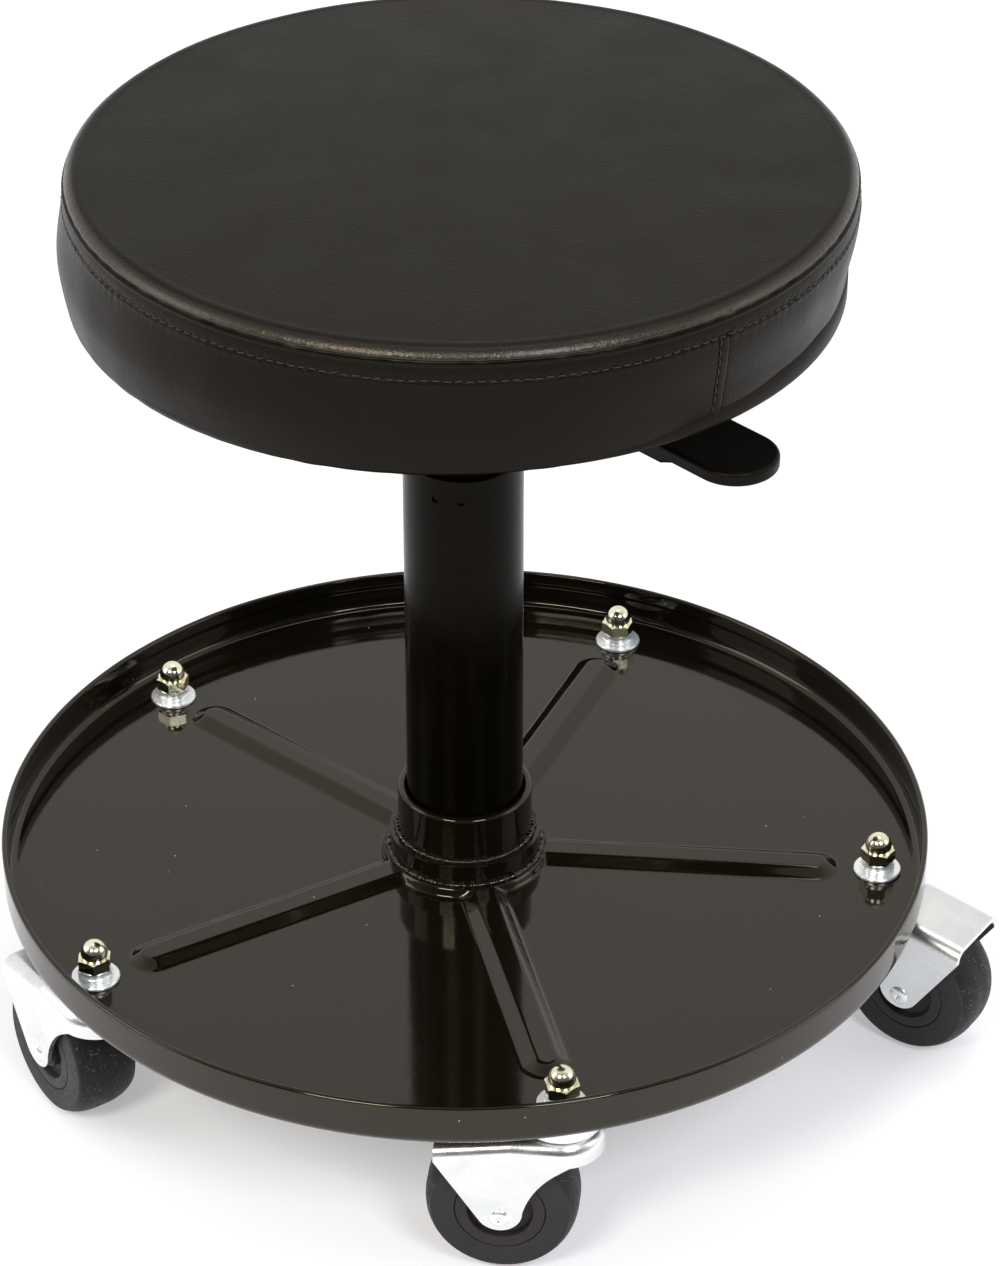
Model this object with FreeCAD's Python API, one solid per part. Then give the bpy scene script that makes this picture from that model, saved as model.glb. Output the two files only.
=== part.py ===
import FreeCAD, Part
import math
import os

# Creeper seat: a round padded seat on a gas-sprung column, over a round tool tray on five swivel casters.
# Lengths are millimetres and angles are degrees. The floor is z = 0 and the column stands on the Z axis.
# The camera side of the object is -Y.

# Clearances shared by the whole object
running_clearance = 0.05
body_clearance = 0.3
cut_overrun = 5.0

# Reach within which an edge counts as lying on a plane, where edges are picked for rounding
edge_reach = 0.3

# Places of the casters round the tray, and the way that each one trails at rest
caster_count = 5
first_stem_angle = 66.8
caster_headings = (150.0, 60.0, 125.0, 173.5, -34.0)

# Caster wheel
wheel_radius = 31.5
wheel_width = 29.0
core_radius = 17.2
core_dish_depth = 0.8
core_boss_radius = 8.0
tread_flat_width = 15.0
tread_shoulder_drop = 4.5
tyre_face_drop = 0.6
axle_radius = 3.0
axle_head_radius = 4.4
axle_head_height = 1.3
axle_head_bulge_shares = (0.87, 0.5)
axle_dimple_radius = 1.5
axle_dimple_depth = 0.7

# Caster fork, pressed from sheet
caster_trail = 23.5
fork_sheet = 2.2
wheel_side_gap = 1.3
wheel_top_gap = 4.8
fork_reach = 50.2
fork_bend_reach = 19.0
fork_bend_drop = 5.0
fork_shoulder_radius = 6.5
fork_end_radius = 9.5
fork_end_rise = 3.2
fork_outer_corner_drop = 11.5
skirt_height = 10.5
heel_offset = 5.0
heel_curve_shares = (0.62, 0.60)

# Swivel bearing and threaded stem
race_sheet = 1.8
race_radius = 17.0
race_skirt_wall = 1.8
race_skirt_height = 5.2
race_edge_radius = 1.2
swivel_ball_diameter = 5.5
swivel_ball_circle = 9.5
swivel_ball_count = 8
swivel_groove_depth = 0.15
stem_radius = 4.0
stem_neck_radius = 5.0
stem_shoulder_radius = 6.4
stem_head_radius = 7.5
stem_head_height = 3.0
stem_gap = 0.1
stem_thread_reach = 9.4

# Tray, pressed from sheet
tray_radius = 200.0
tray_sheet = 1.3
rim_height = 18.5
tray_corner_radius = 5.0
hem_width = 2.6
hem_height = 6.0
stem_hole_clearance = 0.2
rib_height = 3.5
rib_base_width = 19.5
rib_top_width = 9.0
rib_crest_radius = 2.5
rib_foot_radius = 3.0
rib_foot_dip = 0.05
rib_stem_gap = 17.0
stem_inset = 21.0
pad_top_radius = 37.0

# Hub ring, collar and their weld beads
column_fit_gap = 0.4
ring_radius = 32.8
ring_height = 9.7
collar_wall = 3.6
collar_height = 31.7
collar_edge_radius = 1.4
collar_bead_leg = 2.0
ring_bead_leg = 2.3
under_bead_leg = 2.5
bead_bulge_share = 0.62

# Fasteners on the tray
washer_radius = 10.25
washer_thickness = 1.6
washer_bore_radius = 4.2
washer_edge = 0.35
spring_washer_radius = 7.3
spring_washer_height = 4.8
spring_washer_upper_radius = 6.7
spring_washer_waist_radius = 6.0
spring_washer_waist_height = 0.4
spring_washer_slit = 1.0
spring_washer_slit_angle = 20.0
nut_sides = 6
nut_across_flats = 13.0
nut_bevel_angle = 30.0
nut_hex_height = 5.2
nut_height = 12.7
nut_dome_radius = 5.7
nut_bore_depth = 10.0

# Column tube, its end plate and guide sleeve
column_radius = 25.0
column_wall = 2.0
column_bottom = 69.5
column_top = 279.5
column_edge_radius = 0.8
end_plate_thickness = 3.0
sleeve_length = 60.0
sleeve_lip = 1.2
sleeve_chamfer = 0.8
sleeve_pin_radius = 1.65
sleeve_pin_drop = 10.0
sleeve_pin_angles = (-91.5, -117.0, 88.5, 63.0)
sleeve_pin_recess = 0.9
sleeve_pin_depth = 4.0

# Gas spring
cylinder_radius = 14.0
cylinder_wall = 2.0
cylinder_taper_length = 38.0
cylinder_taper_drop = 0.6
cylinder_top = 331.5
gland_length = 12.0
gland_lip = 1.0
valve_length = 16.0
rod_radius = 5.0
rod_neck_radius = 4.0
rod_tail = 5.0
rod_top = 307.5
piston_length = 8.0
piston_clearance = 0.1
piston_seat_length = 9.0
clip_thickness = 1.2
clip_radius = 7.5
clip_groove_depth = 0.8
clip_opening = 5.6
bumper_height = 12.0
bumper_radius = 11.0
bumper_waist = 1.2

# Thrust bearing under the gas spring's rod
thrust_washer_radius = 13.0
thrust_washer_thickness = 1.6
thrust_ball_diameter = 3.2
thrust_ball_circle = 9.0
thrust_ball_count = 8
thrust_groove_depth = 0.2

# Release pin and lever
pin_radius = 3.0
pin_length = 14.0
pin_reach = 4.7
pin_travel = 2.7
lever_angle = -46.5
lever_rod_radius = 3.0
lever_pivot_radius = 32.0
lever_inner_end = -7.0
lever_socket_depth = 18.0
barrel_radius = 4.5
barrel_end_gap = 0.5
pivot_radius = 2.0
pivot_head_radius = 3.6
pivot_head_height = 1.4
paddle_start = 108.0
paddle_tip = 168.5
paddle_half_width = 17.3
paddle_thickness = 6.0
paddle_root_thickness = 8.5
paddle_root_length = 20.0
paddle_step_length = 6.0
paddle_edge_radius = 1.6

# Seat plate, lever bracket and socket
bracket_height = 25.5
bracket_width = 45.0
bracket_wall = 2.5
bracket_length = 84.0
bracket_corner_radius = 4.0
plate_side = 150.0
plate_thickness = 2.5
plate_corner_radius = 15.0
socket_wall = 3.0
socket_length = 36.5

# Seat board and its screws
board_side_gap = 0.4
board_thickness = 12.0
screw_radius = 3.0
screw_spacing = 120.0
screw_head_radius = 6.0
screw_head_height = 3.6
screw_tip_gap = 1.5
screw_hole_clearance = 0.4
tee_barrel_radius = 4.0
tee_flange_radius = 9.5
tee_flange_thickness = 1.0
tee_barrel_length = 8.0

# Cushion: heights are above its underside
cover_thickness = 1.0
hem_plate_gap = 12.0
seam_radius = 156.2
seam_height = 49.8
cushion_foot_inset = 1.6
cushion_foot_height = 3.5
cushion_bulge_reach = 1.4
cushion_bulge_height = 33.0
roll_width = 6.5
roll_rise = 3.4
roll_bulge_share = 0.264
crown_rise = 3.0
crown_flat_radius = 40.0
staple_count = 28
staple_length = 10.0
staple_width = 1.2
staple_height = 0.6
staple_hem_gap = 7.0

# Heights and radii worked out from the sizes above
stem_circle_radius = tray_radius - stem_inset
rib_end_radius = stem_circle_radius - rib_stem_gap
axle_height = wheel_radius
bridge_underside = 2 * wheel_radius + wheel_top_gap
bridge_top = bridge_underside + fork_sheet
swivel_gap = swivel_ball_diameter - 2 * swivel_groove_depth
race_underside = bridge_top + swivel_gap
tray_underside = race_underside + race_sheet
tray_floor = tray_underside + tray_sheet
tray_top = tray_floor + rim_height
pad_top = tray_floor + rib_height
fork_inner_half = wheel_width / 2 + wheel_side_gap
fork_half = fork_inner_half + fork_sheet
rib_slope = (rib_base_width - rib_top_width) / 2
collar_bore_radius = column_radius + column_fit_gap
collar_radius = collar_bore_radius + collar_wall
column_bore_radius = column_radius - column_wall
washer_top = tray_floor + washer_thickness
nut_base = washer_top + spring_washer_height
end_plate_top = column_bottom + end_plate_thickness
thrust_low_top = end_plate_top + thrust_washer_thickness
thrust_gap = thrust_ball_diameter - 2 * thrust_groove_depth
thrust_high_base = thrust_low_top + thrust_gap
thrust_high_top = thrust_high_base + thrust_washer_thickness
bumper_top = thrust_high_top + bumper_height
cylinder_bottom = bumper_top + body_clearance
cylinder_bore_radius = cylinder_radius - cylinder_wall
pin_top = cylinder_top + pin_reach
lever_height = pin_top + body_clearance + lever_rod_radius
bracket_floor = cylinder_top + bracket_wall
bracket_base = cylinder_top
plate_base = bracket_base + bracket_height
board_base = plate_base + plate_thickness
board_top = board_base + board_thickness
cushion_base = board_base - cover_thickness
cushion_foot_radius = seam_radius - cushion_foot_inset
cushion_bulge_radius = seam_radius + cushion_bulge_reach
board_radius = cushion_foot_radius - cover_thickness - board_side_gap
plate_reach = (plate_side / 2 - plate_corner_radius) * math.sqrt(2) + plate_corner_radius
cover_hem_radius = plate_reach + hem_plate_gap
staple_circle_radius = cover_hem_radius + staple_hem_gap
socket_radius = cylinder_radius + socket_wall
paddle_top = lever_height + paddle_root_thickness / 2
Z_AXIS = FreeCAD.Vector(0, 0, 1)
ORIGIN = FreeCAD.Vector(0, 0, 0)


def section(radius, height):
    """A point of a half section, in the plane y = 0."""
    return FreeCAD.Vector(radius, 0, height)


def plan(x, y):
    """A point of an outline seen from above, at height zero."""
    return FreeCAD.Vector(x, y, 0)


def outline(place, start, steps):
    """A closed face: each step is a point for a straight line, or a pair of points for an arc."""
    edges = []
    here = place(*start)
    for step in steps:
        if isinstance(step[0], tuple):
            middle = place(*step[0])
            end = place(*step[1])
            edges.append(Part.Arc(here, middle, end).toShape())
        else:
            end = place(*step)
            edges.append(Part.LineSegment(here, end).toShape())
        here = end
    if here.distanceToPoint(place(*start)) > Part.Precision.confusion():
        edges.append(Part.LineSegment(here, place(*start)).toShape())
    return Part.Face(Part.Wire(edges))


def turned(start, *steps):
    """A solid of revolution about the Z axis from a half section."""
    return outline(section, start, steps).revolve(ORIGIN, Z_AXIS, 360)


def reversed_steps(start, steps):
    """The same path of arcs and lines, drawn from its end back to its start."""
    places = [start] + [step[1] if isinstance(step[0], tuple) else step for step in steps]
    back = []
    for index in range(len(steps) - 1, -1, -1):
        step = steps[index]
        if isinstance(step[0], tuple):
            back.append((step[0], places[index]))
        else:
            back.append(places[index])
    return back


def cap_points(radius, base, rise, stop=0.0):
    """Middle and end of an arc from a rim inward to the radius stop, on a sphere centred on the axis.

    The sphere's pole is rise above the rim, or below it where rise is negative.
    """
    sphere = (radius * radius + rise * rise) / (2 * abs(rise))

    def place(here):
        depth = sphere - math.sqrt(sphere * sphere - here * here)
        return here, base + math.copysign(abs(rise) - depth, rise)

    return place((radius + stop) / 2), place(stop)


def raised(face, low, high):
    """A prism on a face drawn at height zero."""
    prism = face.extrude(Z_AXIS * (high - low))
    prism.translate(Z_AXIS * low)
    return prism


def rod(radius, low, high):
    return Part.makeCylinder(radius, high - low, FreeCAD.Vector(0, 0, low))


def tube(radius, bore, low, high):
    return rod(radius, low, high).cut(rod(bore, low - cut_overrun, high + cut_overrun))


def around(shape, angle):
    """A copy turned about the Z axis."""
    copy = shape.copy()
    copy.rotate(ORIGIN, Z_AXIS, angle)
    return copy


def ring_of(shape, count, first_angle=0.0):
    """Copies of a shape spaced evenly round the Z axis."""
    return [around(shape, first_angle + step * 360 / count) for step in range(count)]


def fused(shapes):
    return shapes[0].multiFuse(shapes[1:]).removeSplitter()


def crosswise(shape, height):
    """A shape built on the Z axis, laid along Y at a height."""
    copy = shape.copy()
    copy.rotate(ORIGIN, FreeCAD.Vector(1, 0, 0), 90)
    copy.translate(Z_AXIS * height)
    return copy


def stem_angle(index):
    return first_stem_angle + index * 360 / caster_count


def stem_place(index):
    angle = math.radians(stem_angle(index))
    return FreeCAD.Vector(stem_circle_radius * math.cos(angle), stem_circle_radius * math.sin(angle), 0)


def at_stem(shape, index):
    """A copy of a piece built round the Z axis, moved onto a caster stem."""
    copy = around(shape, stem_angle(index))
    copy.translate(stem_place(index))
    return copy


def at_caster(shape, index):
    """A copy of a caster piece, turned to the caster's heading and moved onto its stem."""
    copy = around(shape, caster_headings[index])
    copy.translate(stem_place(index))
    return copy


def at_every_stem(shape):
    return Part.makeCompound([at_stem(shape, index) for index in range(caster_count)])


def save(name, shape):
    shape.exportStep("parts/" + name + ".step")


# Tray


def swelling_section(half_width, base):
    """Half the section of a rib or of the pad: rounded foot, slope and crest, from a root inside the sheet."""
    slope = math.atan2(rib_height, rib_slope)
    across = math.sin(slope / 2)
    along = math.cos(slope / 2)
    foot_run = rib_foot_radius * math.tan(slope / 2)
    crest_run = rib_crest_radius * math.tan(slope / 2)
    root = base - tray_sheet / 2
    low = base - rib_foot_dip
    top = base + rib_height
    foot = half_width + (top - low) / math.tan(slope)
    crest = half_width - crest_run
    foot_middle = (foot + foot_run - rib_foot_radius * across, low + rib_foot_radius - rib_foot_radius * along)
    foot_end = (foot - foot_run * math.cos(slope), low + foot_run * math.sin(slope))
    crest_start = (half_width + crest_run * math.cos(slope), top - crest_run * math.sin(slope))
    crest_middle = (crest + rib_crest_radius * across, top - rib_crest_radius + rib_crest_radius * along)
    return (0, root), (
        (foot + foot_run, root),
        (foot + foot_run, low),
        (foot_middle, foot_end),
        crest_start,
        (crest_middle, (crest, top)),
        (0, top),
    )


def rib_swelling(base):
    """One rib along X: a straight run with a round outer end."""
    start, steps = swelling_section(rib_top_width / 2, base)
    face = outline(section, start, steps)
    length = FreeCAD.Vector(rib_end_radius - rib_base_width / 2, 0, 0)
    side = around(face, 90).extrude(length)
    end = around(face, -90).revolve(ORIGIN, Z_AXIS, 180)
    end.translate(length)
    return fused([side, side.mirror(ORIGIN, FreeCAD.Vector(0, 1, 0)), end])


def pad_swelling(base):
    start, steps = swelling_section(pad_top_radius, base)
    return turned(start, *steps)


def swellings(base):
    """Centre pad and five ribs as one raised form."""
    return fused([pad_swelling(base)] + ring_of(rib_swelling(base), caster_count, first_stem_angle))


def tray_dish():
    """Floor, corner, wall and folded hem as one turned section."""
    inner = tray_radius - tray_sheet
    hem_inner = tray_radius - hem_width
    hem_centre = tray_radius - hem_width / 2
    hem_shoulder = tray_top - hem_width / 2
    corner_centre = tray_radius - tray_corner_radius
    diagonal = tray_corner_radius * math.sqrt(0.5)
    inner_diagonal = (tray_corner_radius - tray_sheet) * math.sqrt(0.5)
    corner_height = tray_underside + tray_corner_radius
    return turned(
        (0, tray_underside),
        (corner_centre, tray_underside),
        ((corner_centre + diagonal, corner_height - diagonal), (tray_radius, corner_height)),
        (tray_radius, hem_shoulder),
        ((hem_centre, tray_top), (hem_inner, hem_shoulder)),
        (hem_inner, tray_top - hem_height),
        (inner, tray_top - hem_height - hem_width + tray_sheet),
        (inner, corner_height),
        ((corner_centre + inner_diagonal, corner_height - inner_diagonal), (corner_centre, tray_floor)),
        (0, tray_floor),
    )


def tray():
    dish = tray_dish().fuse(swellings(tray_floor)).removeSplitter()
    dish = dish.cut(swellings(tray_underside))
    dish = dish.cut(rod(collar_bore_radius, tray_underside, tray_top))
    hole = rod(stem_radius + stem_hole_clearance, tray_underside - cut_overrun, tray_top)
    return dish.cut(at_every_stem(hole))


# Hub and weld beads


def hub_ring():
    return tube(ring_radius, collar_radius, pad_top, pad_top + ring_height)


def hub_collar():
    top = pad_top + collar_height
    collar = tube(collar_radius, collar_bore_radius, pad_top, top)
    rim = [edge for edge in collar.Edges if edge.BoundBox.ZMin > top - edge_reach]
    return collar.makeFillet(collar_edge_radius, rim)


def fillet_bead(radius, height, leg, rise):
    """A convex fillet weld outside a wall at radius, on a face at height."""
    bulge = leg * bead_bulge_share
    return turned(
        (radius, height),
        (radius + leg, height),
        ((radius + bulge, height + rise * bulge), (radius, height + rise * leg)),
    )


def weld_beads():
    collar_bead = fillet_bead(collar_radius, pad_top + ring_height, collar_bead_leg, 1)
    ring_bead = fillet_bead(ring_radius, pad_top, ring_bead_leg, 1)
    under_bead = fillet_bead(column_radius, pad_top - tray_sheet, under_bead_leg, -1)
    return Part.makeCompound([collar_bead, ring_bead, under_bead])


# Column


def sleeve_pin_hole(radius, inner, outer):
    """A round hole through the column wall, along X, at the pins' height."""
    start = FreeCAD.Vector(inner, 0, column_top - sleeve_pin_drop)
    return Part.makeCylinder(radius, outer - inner, start, FreeCAD.Vector(1, 0, 0))


def pin_holes(radius, inner, outer):
    hole = sleeve_pin_hole(radius, inner, outer)
    return Part.makeCompound([around(hole, angle) for angle in sleeve_pin_angles])


def column_tube():
    body = tube(column_radius, column_bore_radius, column_bottom, column_top)
    rim = [
        edge
        for edge in body.Edges
        if edge.BoundBox.ZMin > column_top - edge_reach and edge.BoundBox.XMax > column_radius - edge_reach
    ]
    body = body.makeFillet(column_edge_radius, rim)
    return body.cut(pin_holes(sleeve_pin_radius, column_bore_radius - column_wall, column_radius + cut_overrun))


def column_end_plate():
    return tube(column_bore_radius, rod_neck_radius + running_clearance, column_bottom, end_plate_top)


def guide_sleeve():
    """Plastic bush inside the column's mouth, chamfered where the gas spring enters."""
    top = column_top + sleeve_lip
    bore = cylinder_radius + running_clearance
    sleeve = turned(
        (bore, column_top - sleeve_length),
        (column_bore_radius, column_top - sleeve_length),
        (column_bore_radius, top - sleeve_chamfer),
        (column_bore_radius - sleeve_chamfer, top),
        (bore + sleeve_chamfer, top),
        (bore, top - sleeve_chamfer),
    )
    inner = column_bore_radius - sleeve_pin_depth
    return sleeve.cut(pin_holes(sleeve_pin_radius, inner, column_radius))


def sleeve_pins():
    inner = column_bore_radius - sleeve_pin_depth
    return pin_holes(sleeve_pin_radius, inner, column_radius - sleeve_pin_recess)


# Thrust bearing and rod


def thrust_groove(height):
    return Part.makeTorus(
        thrust_ball_circle, thrust_ball_diameter / 2 + running_clearance, FreeCAD.Vector(0, 0, height)
    )


def thrust_ball_height():
    return thrust_low_top + thrust_gap / 2


def thrust_washer_lower():
    washer = tube(thrust_washer_radius, rod_neck_radius + running_clearance, end_plate_top, thrust_low_top)
    return washer.cut(thrust_groove(thrust_ball_height()))


def thrust_washer_upper():
    washer = tube(thrust_washer_radius, rod_neck_radius, thrust_high_base, thrust_high_top)
    return washer.cut(thrust_groove(thrust_ball_height()))


def thrust_balls():
    centre = FreeCAD.Vector(thrust_ball_circle, 0, thrust_ball_height())
    ball = Part.makeSphere(thrust_ball_diameter / 2, centre)
    return Part.makeCompound(ring_of(ball, thrust_ball_count))


def clip_top():
    return column_bottom - body_clearance


def piston_rod():
    """Ground rod with a neck through the end plate, a clip groove and a piston seat."""
    neck_end = column_bottom - rod_tail
    groove_radius = rod_neck_radius - clip_groove_depth
    groove_low = clip_top() - clip_thickness
    seat_base = rod_top - piston_seat_length
    return turned(
        (0, neck_end),
        (rod_neck_radius, neck_end),
        (rod_neck_radius, groove_low),
        (groove_radius, groove_low),
        (groove_radius, clip_top()),
        (rod_neck_radius, clip_top()),
        (rod_neck_radius, thrust_high_top),
        (rod_radius, thrust_high_top),
        (rod_radius, seat_base),
        (rod_neck_radius, seat_base),
        (rod_neck_radius, rod_top),
        (0, rod_top),
    )


def rod_clip():
    """Open clip pushed sideways into the groove of the rod's neck."""
    low = clip_top() - clip_thickness
    ring = tube(clip_radius, rod_neck_radius - clip_groove_depth, low, clip_top())
    mouth = Part.makeBox(
        clip_radius + cut_overrun,
        clip_opening,
        clip_thickness,
        FreeCAD.Vector(0, -clip_opening / 2, low),
    )
    return ring.cut(mouth)


def piston():
    low = rod_top - piston_seat_length
    return tube(cylinder_bore_radius - piston_clearance, rod_neck_radius, low, low + piston_length)


def bumper():
    """Rubber buffer that the gas spring lands on at its lowest height."""
    bore = rod_radius + running_clearance
    middle = thrust_high_top + bumper_height / 2
    return turned(
        (bore, thrust_high_top),
        (bumper_radius, thrust_high_top),
        ((bumper_radius - bumper_waist, middle), (bumper_radius, bumper_top)),
        (bore, bumper_top),
    )


# Gas spring


def cylinder_outline(clearance, low, high):
    """The gas spring's outer surface: straight below, tapered where it enters the socket."""
    taper_base = cylinder_top - cylinder_taper_length
    radius = cylinder_radius + clearance
    return turned(
        (0, low),
        (radius, low),
        (radius, taper_base),
        (radius - cylinder_taper_drop, high),
        (0, high),
    )


def gas_cylinder():
    outer = cylinder_outline(0, cylinder_bottom, cylinder_top)
    return outer.cut(rod(cylinder_bore_radius, cylinder_bottom, cylinder_top))


def cylinder_gland():
    """Guide and seal at the lower mouth, which the rod runs through."""
    top = cylinder_bottom + gland_length
    bore = rod_radius + running_clearance
    return tube(cylinder_bore_radius, bore, cylinder_bottom + gland_lip, top)


def valve_body():
    block = rod(cylinder_bore_radius, cylinder_top - valve_length, cylinder_top)
    pin_base = pin_top - pin_length - pin_travel - body_clearance
    return block.cut(rod(pin_radius + running_clearance, pin_base, pin_top))


def release_pin():
    return rod(pin_radius, pin_top - pin_length, pin_top)


# Lever, built along X and turned to its direction


def lever_rod():
    bar = Part.makeCylinder(
        lever_rod_radius,
        paddle_start + lever_socket_depth - lever_inner_end,
        FreeCAD.Vector(lever_inner_end, 0, lever_height),
        FreeCAD.Vector(1, 0, 0),
    )
    half = bracket_width / 2 - bracket_wall - barrel_end_gap
    barrel = crosswise(rod(barrel_radius, -half, half), lever_height)
    barrel.translate(FreeCAD.Vector(lever_pivot_radius, 0, 0))
    bore = crosswise(rod(pivot_radius + running_clearance, -bracket_width, bracket_width), lever_height)
    bore.translate(FreeCAD.Vector(lever_pivot_radius, 0, 0))
    return around(bar.fuse(barrel).removeSplitter().cut(bore), lever_angle)


def lever_paddle():
    """Moulded handle: a thick root on the rod and a thin round-ended paddle."""
    end_centre = paddle_tip - paddle_half_width
    steps = (
        (end_centre, -paddle_half_width),
        ((paddle_tip, 0), (end_centre, paddle_half_width)),
        (paddle_start, paddle_half_width),
    )
    low = paddle_top - paddle_root_thickness
    body = raised(outline(plan, (paddle_start, -paddle_half_width), steps), low, paddle_top)
    root_end = paddle_start + paddle_root_length
    step_end = root_end + paddle_step_length
    thin_base = paddle_top - paddle_thickness
    relief = outline(
        section,
        (root_end, low - cut_overrun),
        (
            (root_end, low),
            (step_end, thin_base),
            (paddle_tip + cut_overrun, thin_base),
            (paddle_tip + cut_overrun, low - cut_overrun),
        ),
    )
    relief.translate(FreeCAD.Vector(0, -paddle_tip, 0))
    body = body.cut(relief.extrude(FreeCAD.Vector(0, 2 * paddle_tip, 0)))
    rim = [edge for edge in body.Edges if paddle_rim(edge)]
    body = body.makeFillet(paddle_edge_radius, rim)
    bore = Part.makeCylinder(
        lever_rod_radius,
        lever_socket_depth,
        FreeCAD.Vector(paddle_start, 0, lever_height),
        FreeCAD.Vector(1, 0, 0),
    )
    return around(body.cut(bore), lever_angle)


def paddle_rim(edge):
    """The paddle's long edges, top and bottom, outside its root face."""
    box = edge.BoundBox
    upright = box.ZLength > paddle_thickness - edge_reach
    across = box.XLength < edge_reach
    return not upright and not across


def pivot_pin():
    half = bracket_width / 2
    shank = rod(pivot_radius, -half, half)
    heads = [
        rod(pivot_head_radius, half, half + pivot_head_height),
        rod(pivot_head_radius, -half - pivot_head_height, -half),
    ]
    pin = crosswise(fused([shank] + heads), lever_height)
    pin.translate(FreeCAD.Vector(lever_pivot_radius, 0, 0))
    return around(pin, lever_angle)


# Seat plate, bracket and socket


def rounded_rectangle(length, width, corner):
    """A rectangle with round corners, seen from above and centred."""
    x = length / 2
    y = width / 2
    inset = corner * (1 - math.sqrt(0.5))
    steps = (
        (x - corner, -y),
        ((x - inset, -y + inset), (x, -y + corner)),
        (x, y - corner),
        ((x - inset, y - inset), (x - corner, y)),
        (-x + corner, y),
        ((-x + inset, y - inset), (-x, y - corner)),
        (-x, -y + corner),
        ((-x + inset, -y + inset), (-x + corner, -y)),
    )
    return outline(plan, (-x + corner, -y), steps)


def box_section(shrink):
    """The bracket's cross-section, laid along X, smaller all round by shrink."""
    height = bracket_height - 2 * shrink
    width = bracket_width - 2 * shrink
    face = rounded_rectangle(height, width, bracket_corner_radius - shrink)
    bar = raised(face, -bracket_length / 2, bracket_length / 2)
    bar.rotate(ORIGIN, FreeCAD.Vector(0, 1, 0), 90)
    bar.translate(Z_AXIS * (bracket_base + bracket_height / 2))
    return bar


def lever_bracket():
    """Folded box under the plate, open at both ends, that holds the socket and the pivot."""
    box = box_section(0).cut(box_section(bracket_wall))
    box = box.cut(rod(socket_radius, bracket_base - cut_overrun, bracket_floor))
    bore = crosswise(rod(pivot_radius + running_clearance, -bracket_width, bracket_width), lever_height)
    bore.translate(FreeCAD.Vector(lever_pivot_radius, 0, 0))
    return around(box.cut(bore), lever_angle)


def screw_places():
    half = screw_spacing / 2
    return [FreeCAD.Vector(x, y, 0) for x in (-half, half) for y in (-half, half)]


def at_screws(shape):
    """Copies of a piece at the four plate screws, turned with the lever."""
    copies = []
    for place in screw_places():
        copy = shape.copy()
        copy.translate(place)
        copies.append(around(copy, lever_angle))
    return Part.makeCompound(copies)


def seat_plate():
    face = rounded_rectangle(plate_side, plate_side, plate_corner_radius)
    plate = around(raised(face, plate_base, board_base), lever_angle)
    hole = rod(screw_radius + screw_hole_clearance, plate_base - cut_overrun, board_base + cut_overrun)
    return plate.cut(at_screws(hole))


def plate_socket():
    base = bracket_floor - socket_length
    bush = rod(socket_radius, base, bracket_floor)
    taper = cylinder_outline(running_clearance, base - cut_overrun, cylinder_top)
    return bush.cut(taper).cut(rod(cylinder_bore_radius, base, bracket_floor))


def plate_screws():
    top = board_top - screw_tip_gap
    shank = rod(screw_radius, plate_base, top)
    head = turned(
        (0, plate_base),
        (screw_head_radius, plate_base),
        cap_points(screw_head_radius, plate_base, -screw_head_height),
    )
    return at_screws(shank.fuse(head).removeSplitter())


def tee_nuts():
    flange_base = board_top - tee_flange_thickness
    barrel = tube(tee_barrel_radius, screw_radius, board_top - tee_barrel_length, board_top)
    flange = tube(tee_flange_radius, screw_radius, flange_base, board_top)
    return at_screws(barrel.fuse(flange).removeSplitter())


def seat_board():
    board = rod(board_radius, board_base, board_top)
    foot = [edge for edge in board.Edges if edge.BoundBox.ZMax < board_base + edge_reach]
    board = board.makeFillet(cushion_foot_height - cover_thickness, foot)
    barrel = rod(tee_barrel_radius, board_base, board_top)
    flange = rod(tee_flange_radius, board_top - tee_flange_thickness, board_top)
    return board.cut(at_screws(barrel)).cut(at_screws(flange))


# Cushion


def cushion_side(inset, base):
    """The path from the foot over the side and the roll to the crown's flat middle, drawn in by inset."""
    foot_radius = cushion_foot_radius - inset
    foot_height = cushion_foot_height - inset
    foot_bulge = foot_height * (1 - math.sqrt(0.5))
    seam_place = (seam_radius - inset, cushion_base + seam_height - inset / 2)
    roll_end = seam_radius - roll_width
    roll_top = cushion_base + seam_height + roll_rise - inset
    roll_bulge = roll_width * roll_bulge_share
    start = (foot_radius - foot_height, base)
    steps = (
        ((foot_radius - foot_bulge, base + foot_bulge), (foot_radius, base + foot_height)),
        ((cushion_bulge_radius - inset, cushion_base + cushion_bulge_height), seam_place),
        ((seam_place[0] - roll_bulge, roll_top - roll_bulge), (roll_end, roll_top)),
        cap_points(roll_end, roll_top, crown_rise, crown_flat_radius),
    )
    return start, steps


def foam_pad():
    """Foam between the board and the cover."""
    start, steps = cushion_side(cover_thickness, board_base)
    crown = (0, steps[-1][1][1])
    body = turned((0, board_base), start, *steps, crown)
    return body.cut(rod(cushion_bulge_radius, board_base - cut_overrun, board_top))


def vinyl_cover():
    """Cover over the foam, turned in under the board, as one turned strip."""
    outer_start, outer_steps = cushion_side(0, cushion_base)
    inner_start, inner_steps = cushion_side(cover_thickness, board_base)
    inner_end = inner_steps[-1][1]
    back_steps = reversed_steps(inner_start, inner_steps)
    return turned(
        (cover_hem_radius, cushion_base),
        outer_start,
        *outer_steps,
        (0, outer_steps[-1][1][1]),
        (0, inner_end[1]),
        inner_end,
        *back_steps,
        (cover_hem_radius, board_base),
    )


def cover_staples():
    corner = FreeCAD.Vector(staple_circle_radius - staple_width / 2, -staple_length / 2, cushion_base - staple_height)
    staple = Part.makeBox(staple_width, staple_length, staple_height, corner)
    return Part.makeCompound(ring_of(staple, staple_count))


# Fasteners on the tray


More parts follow.
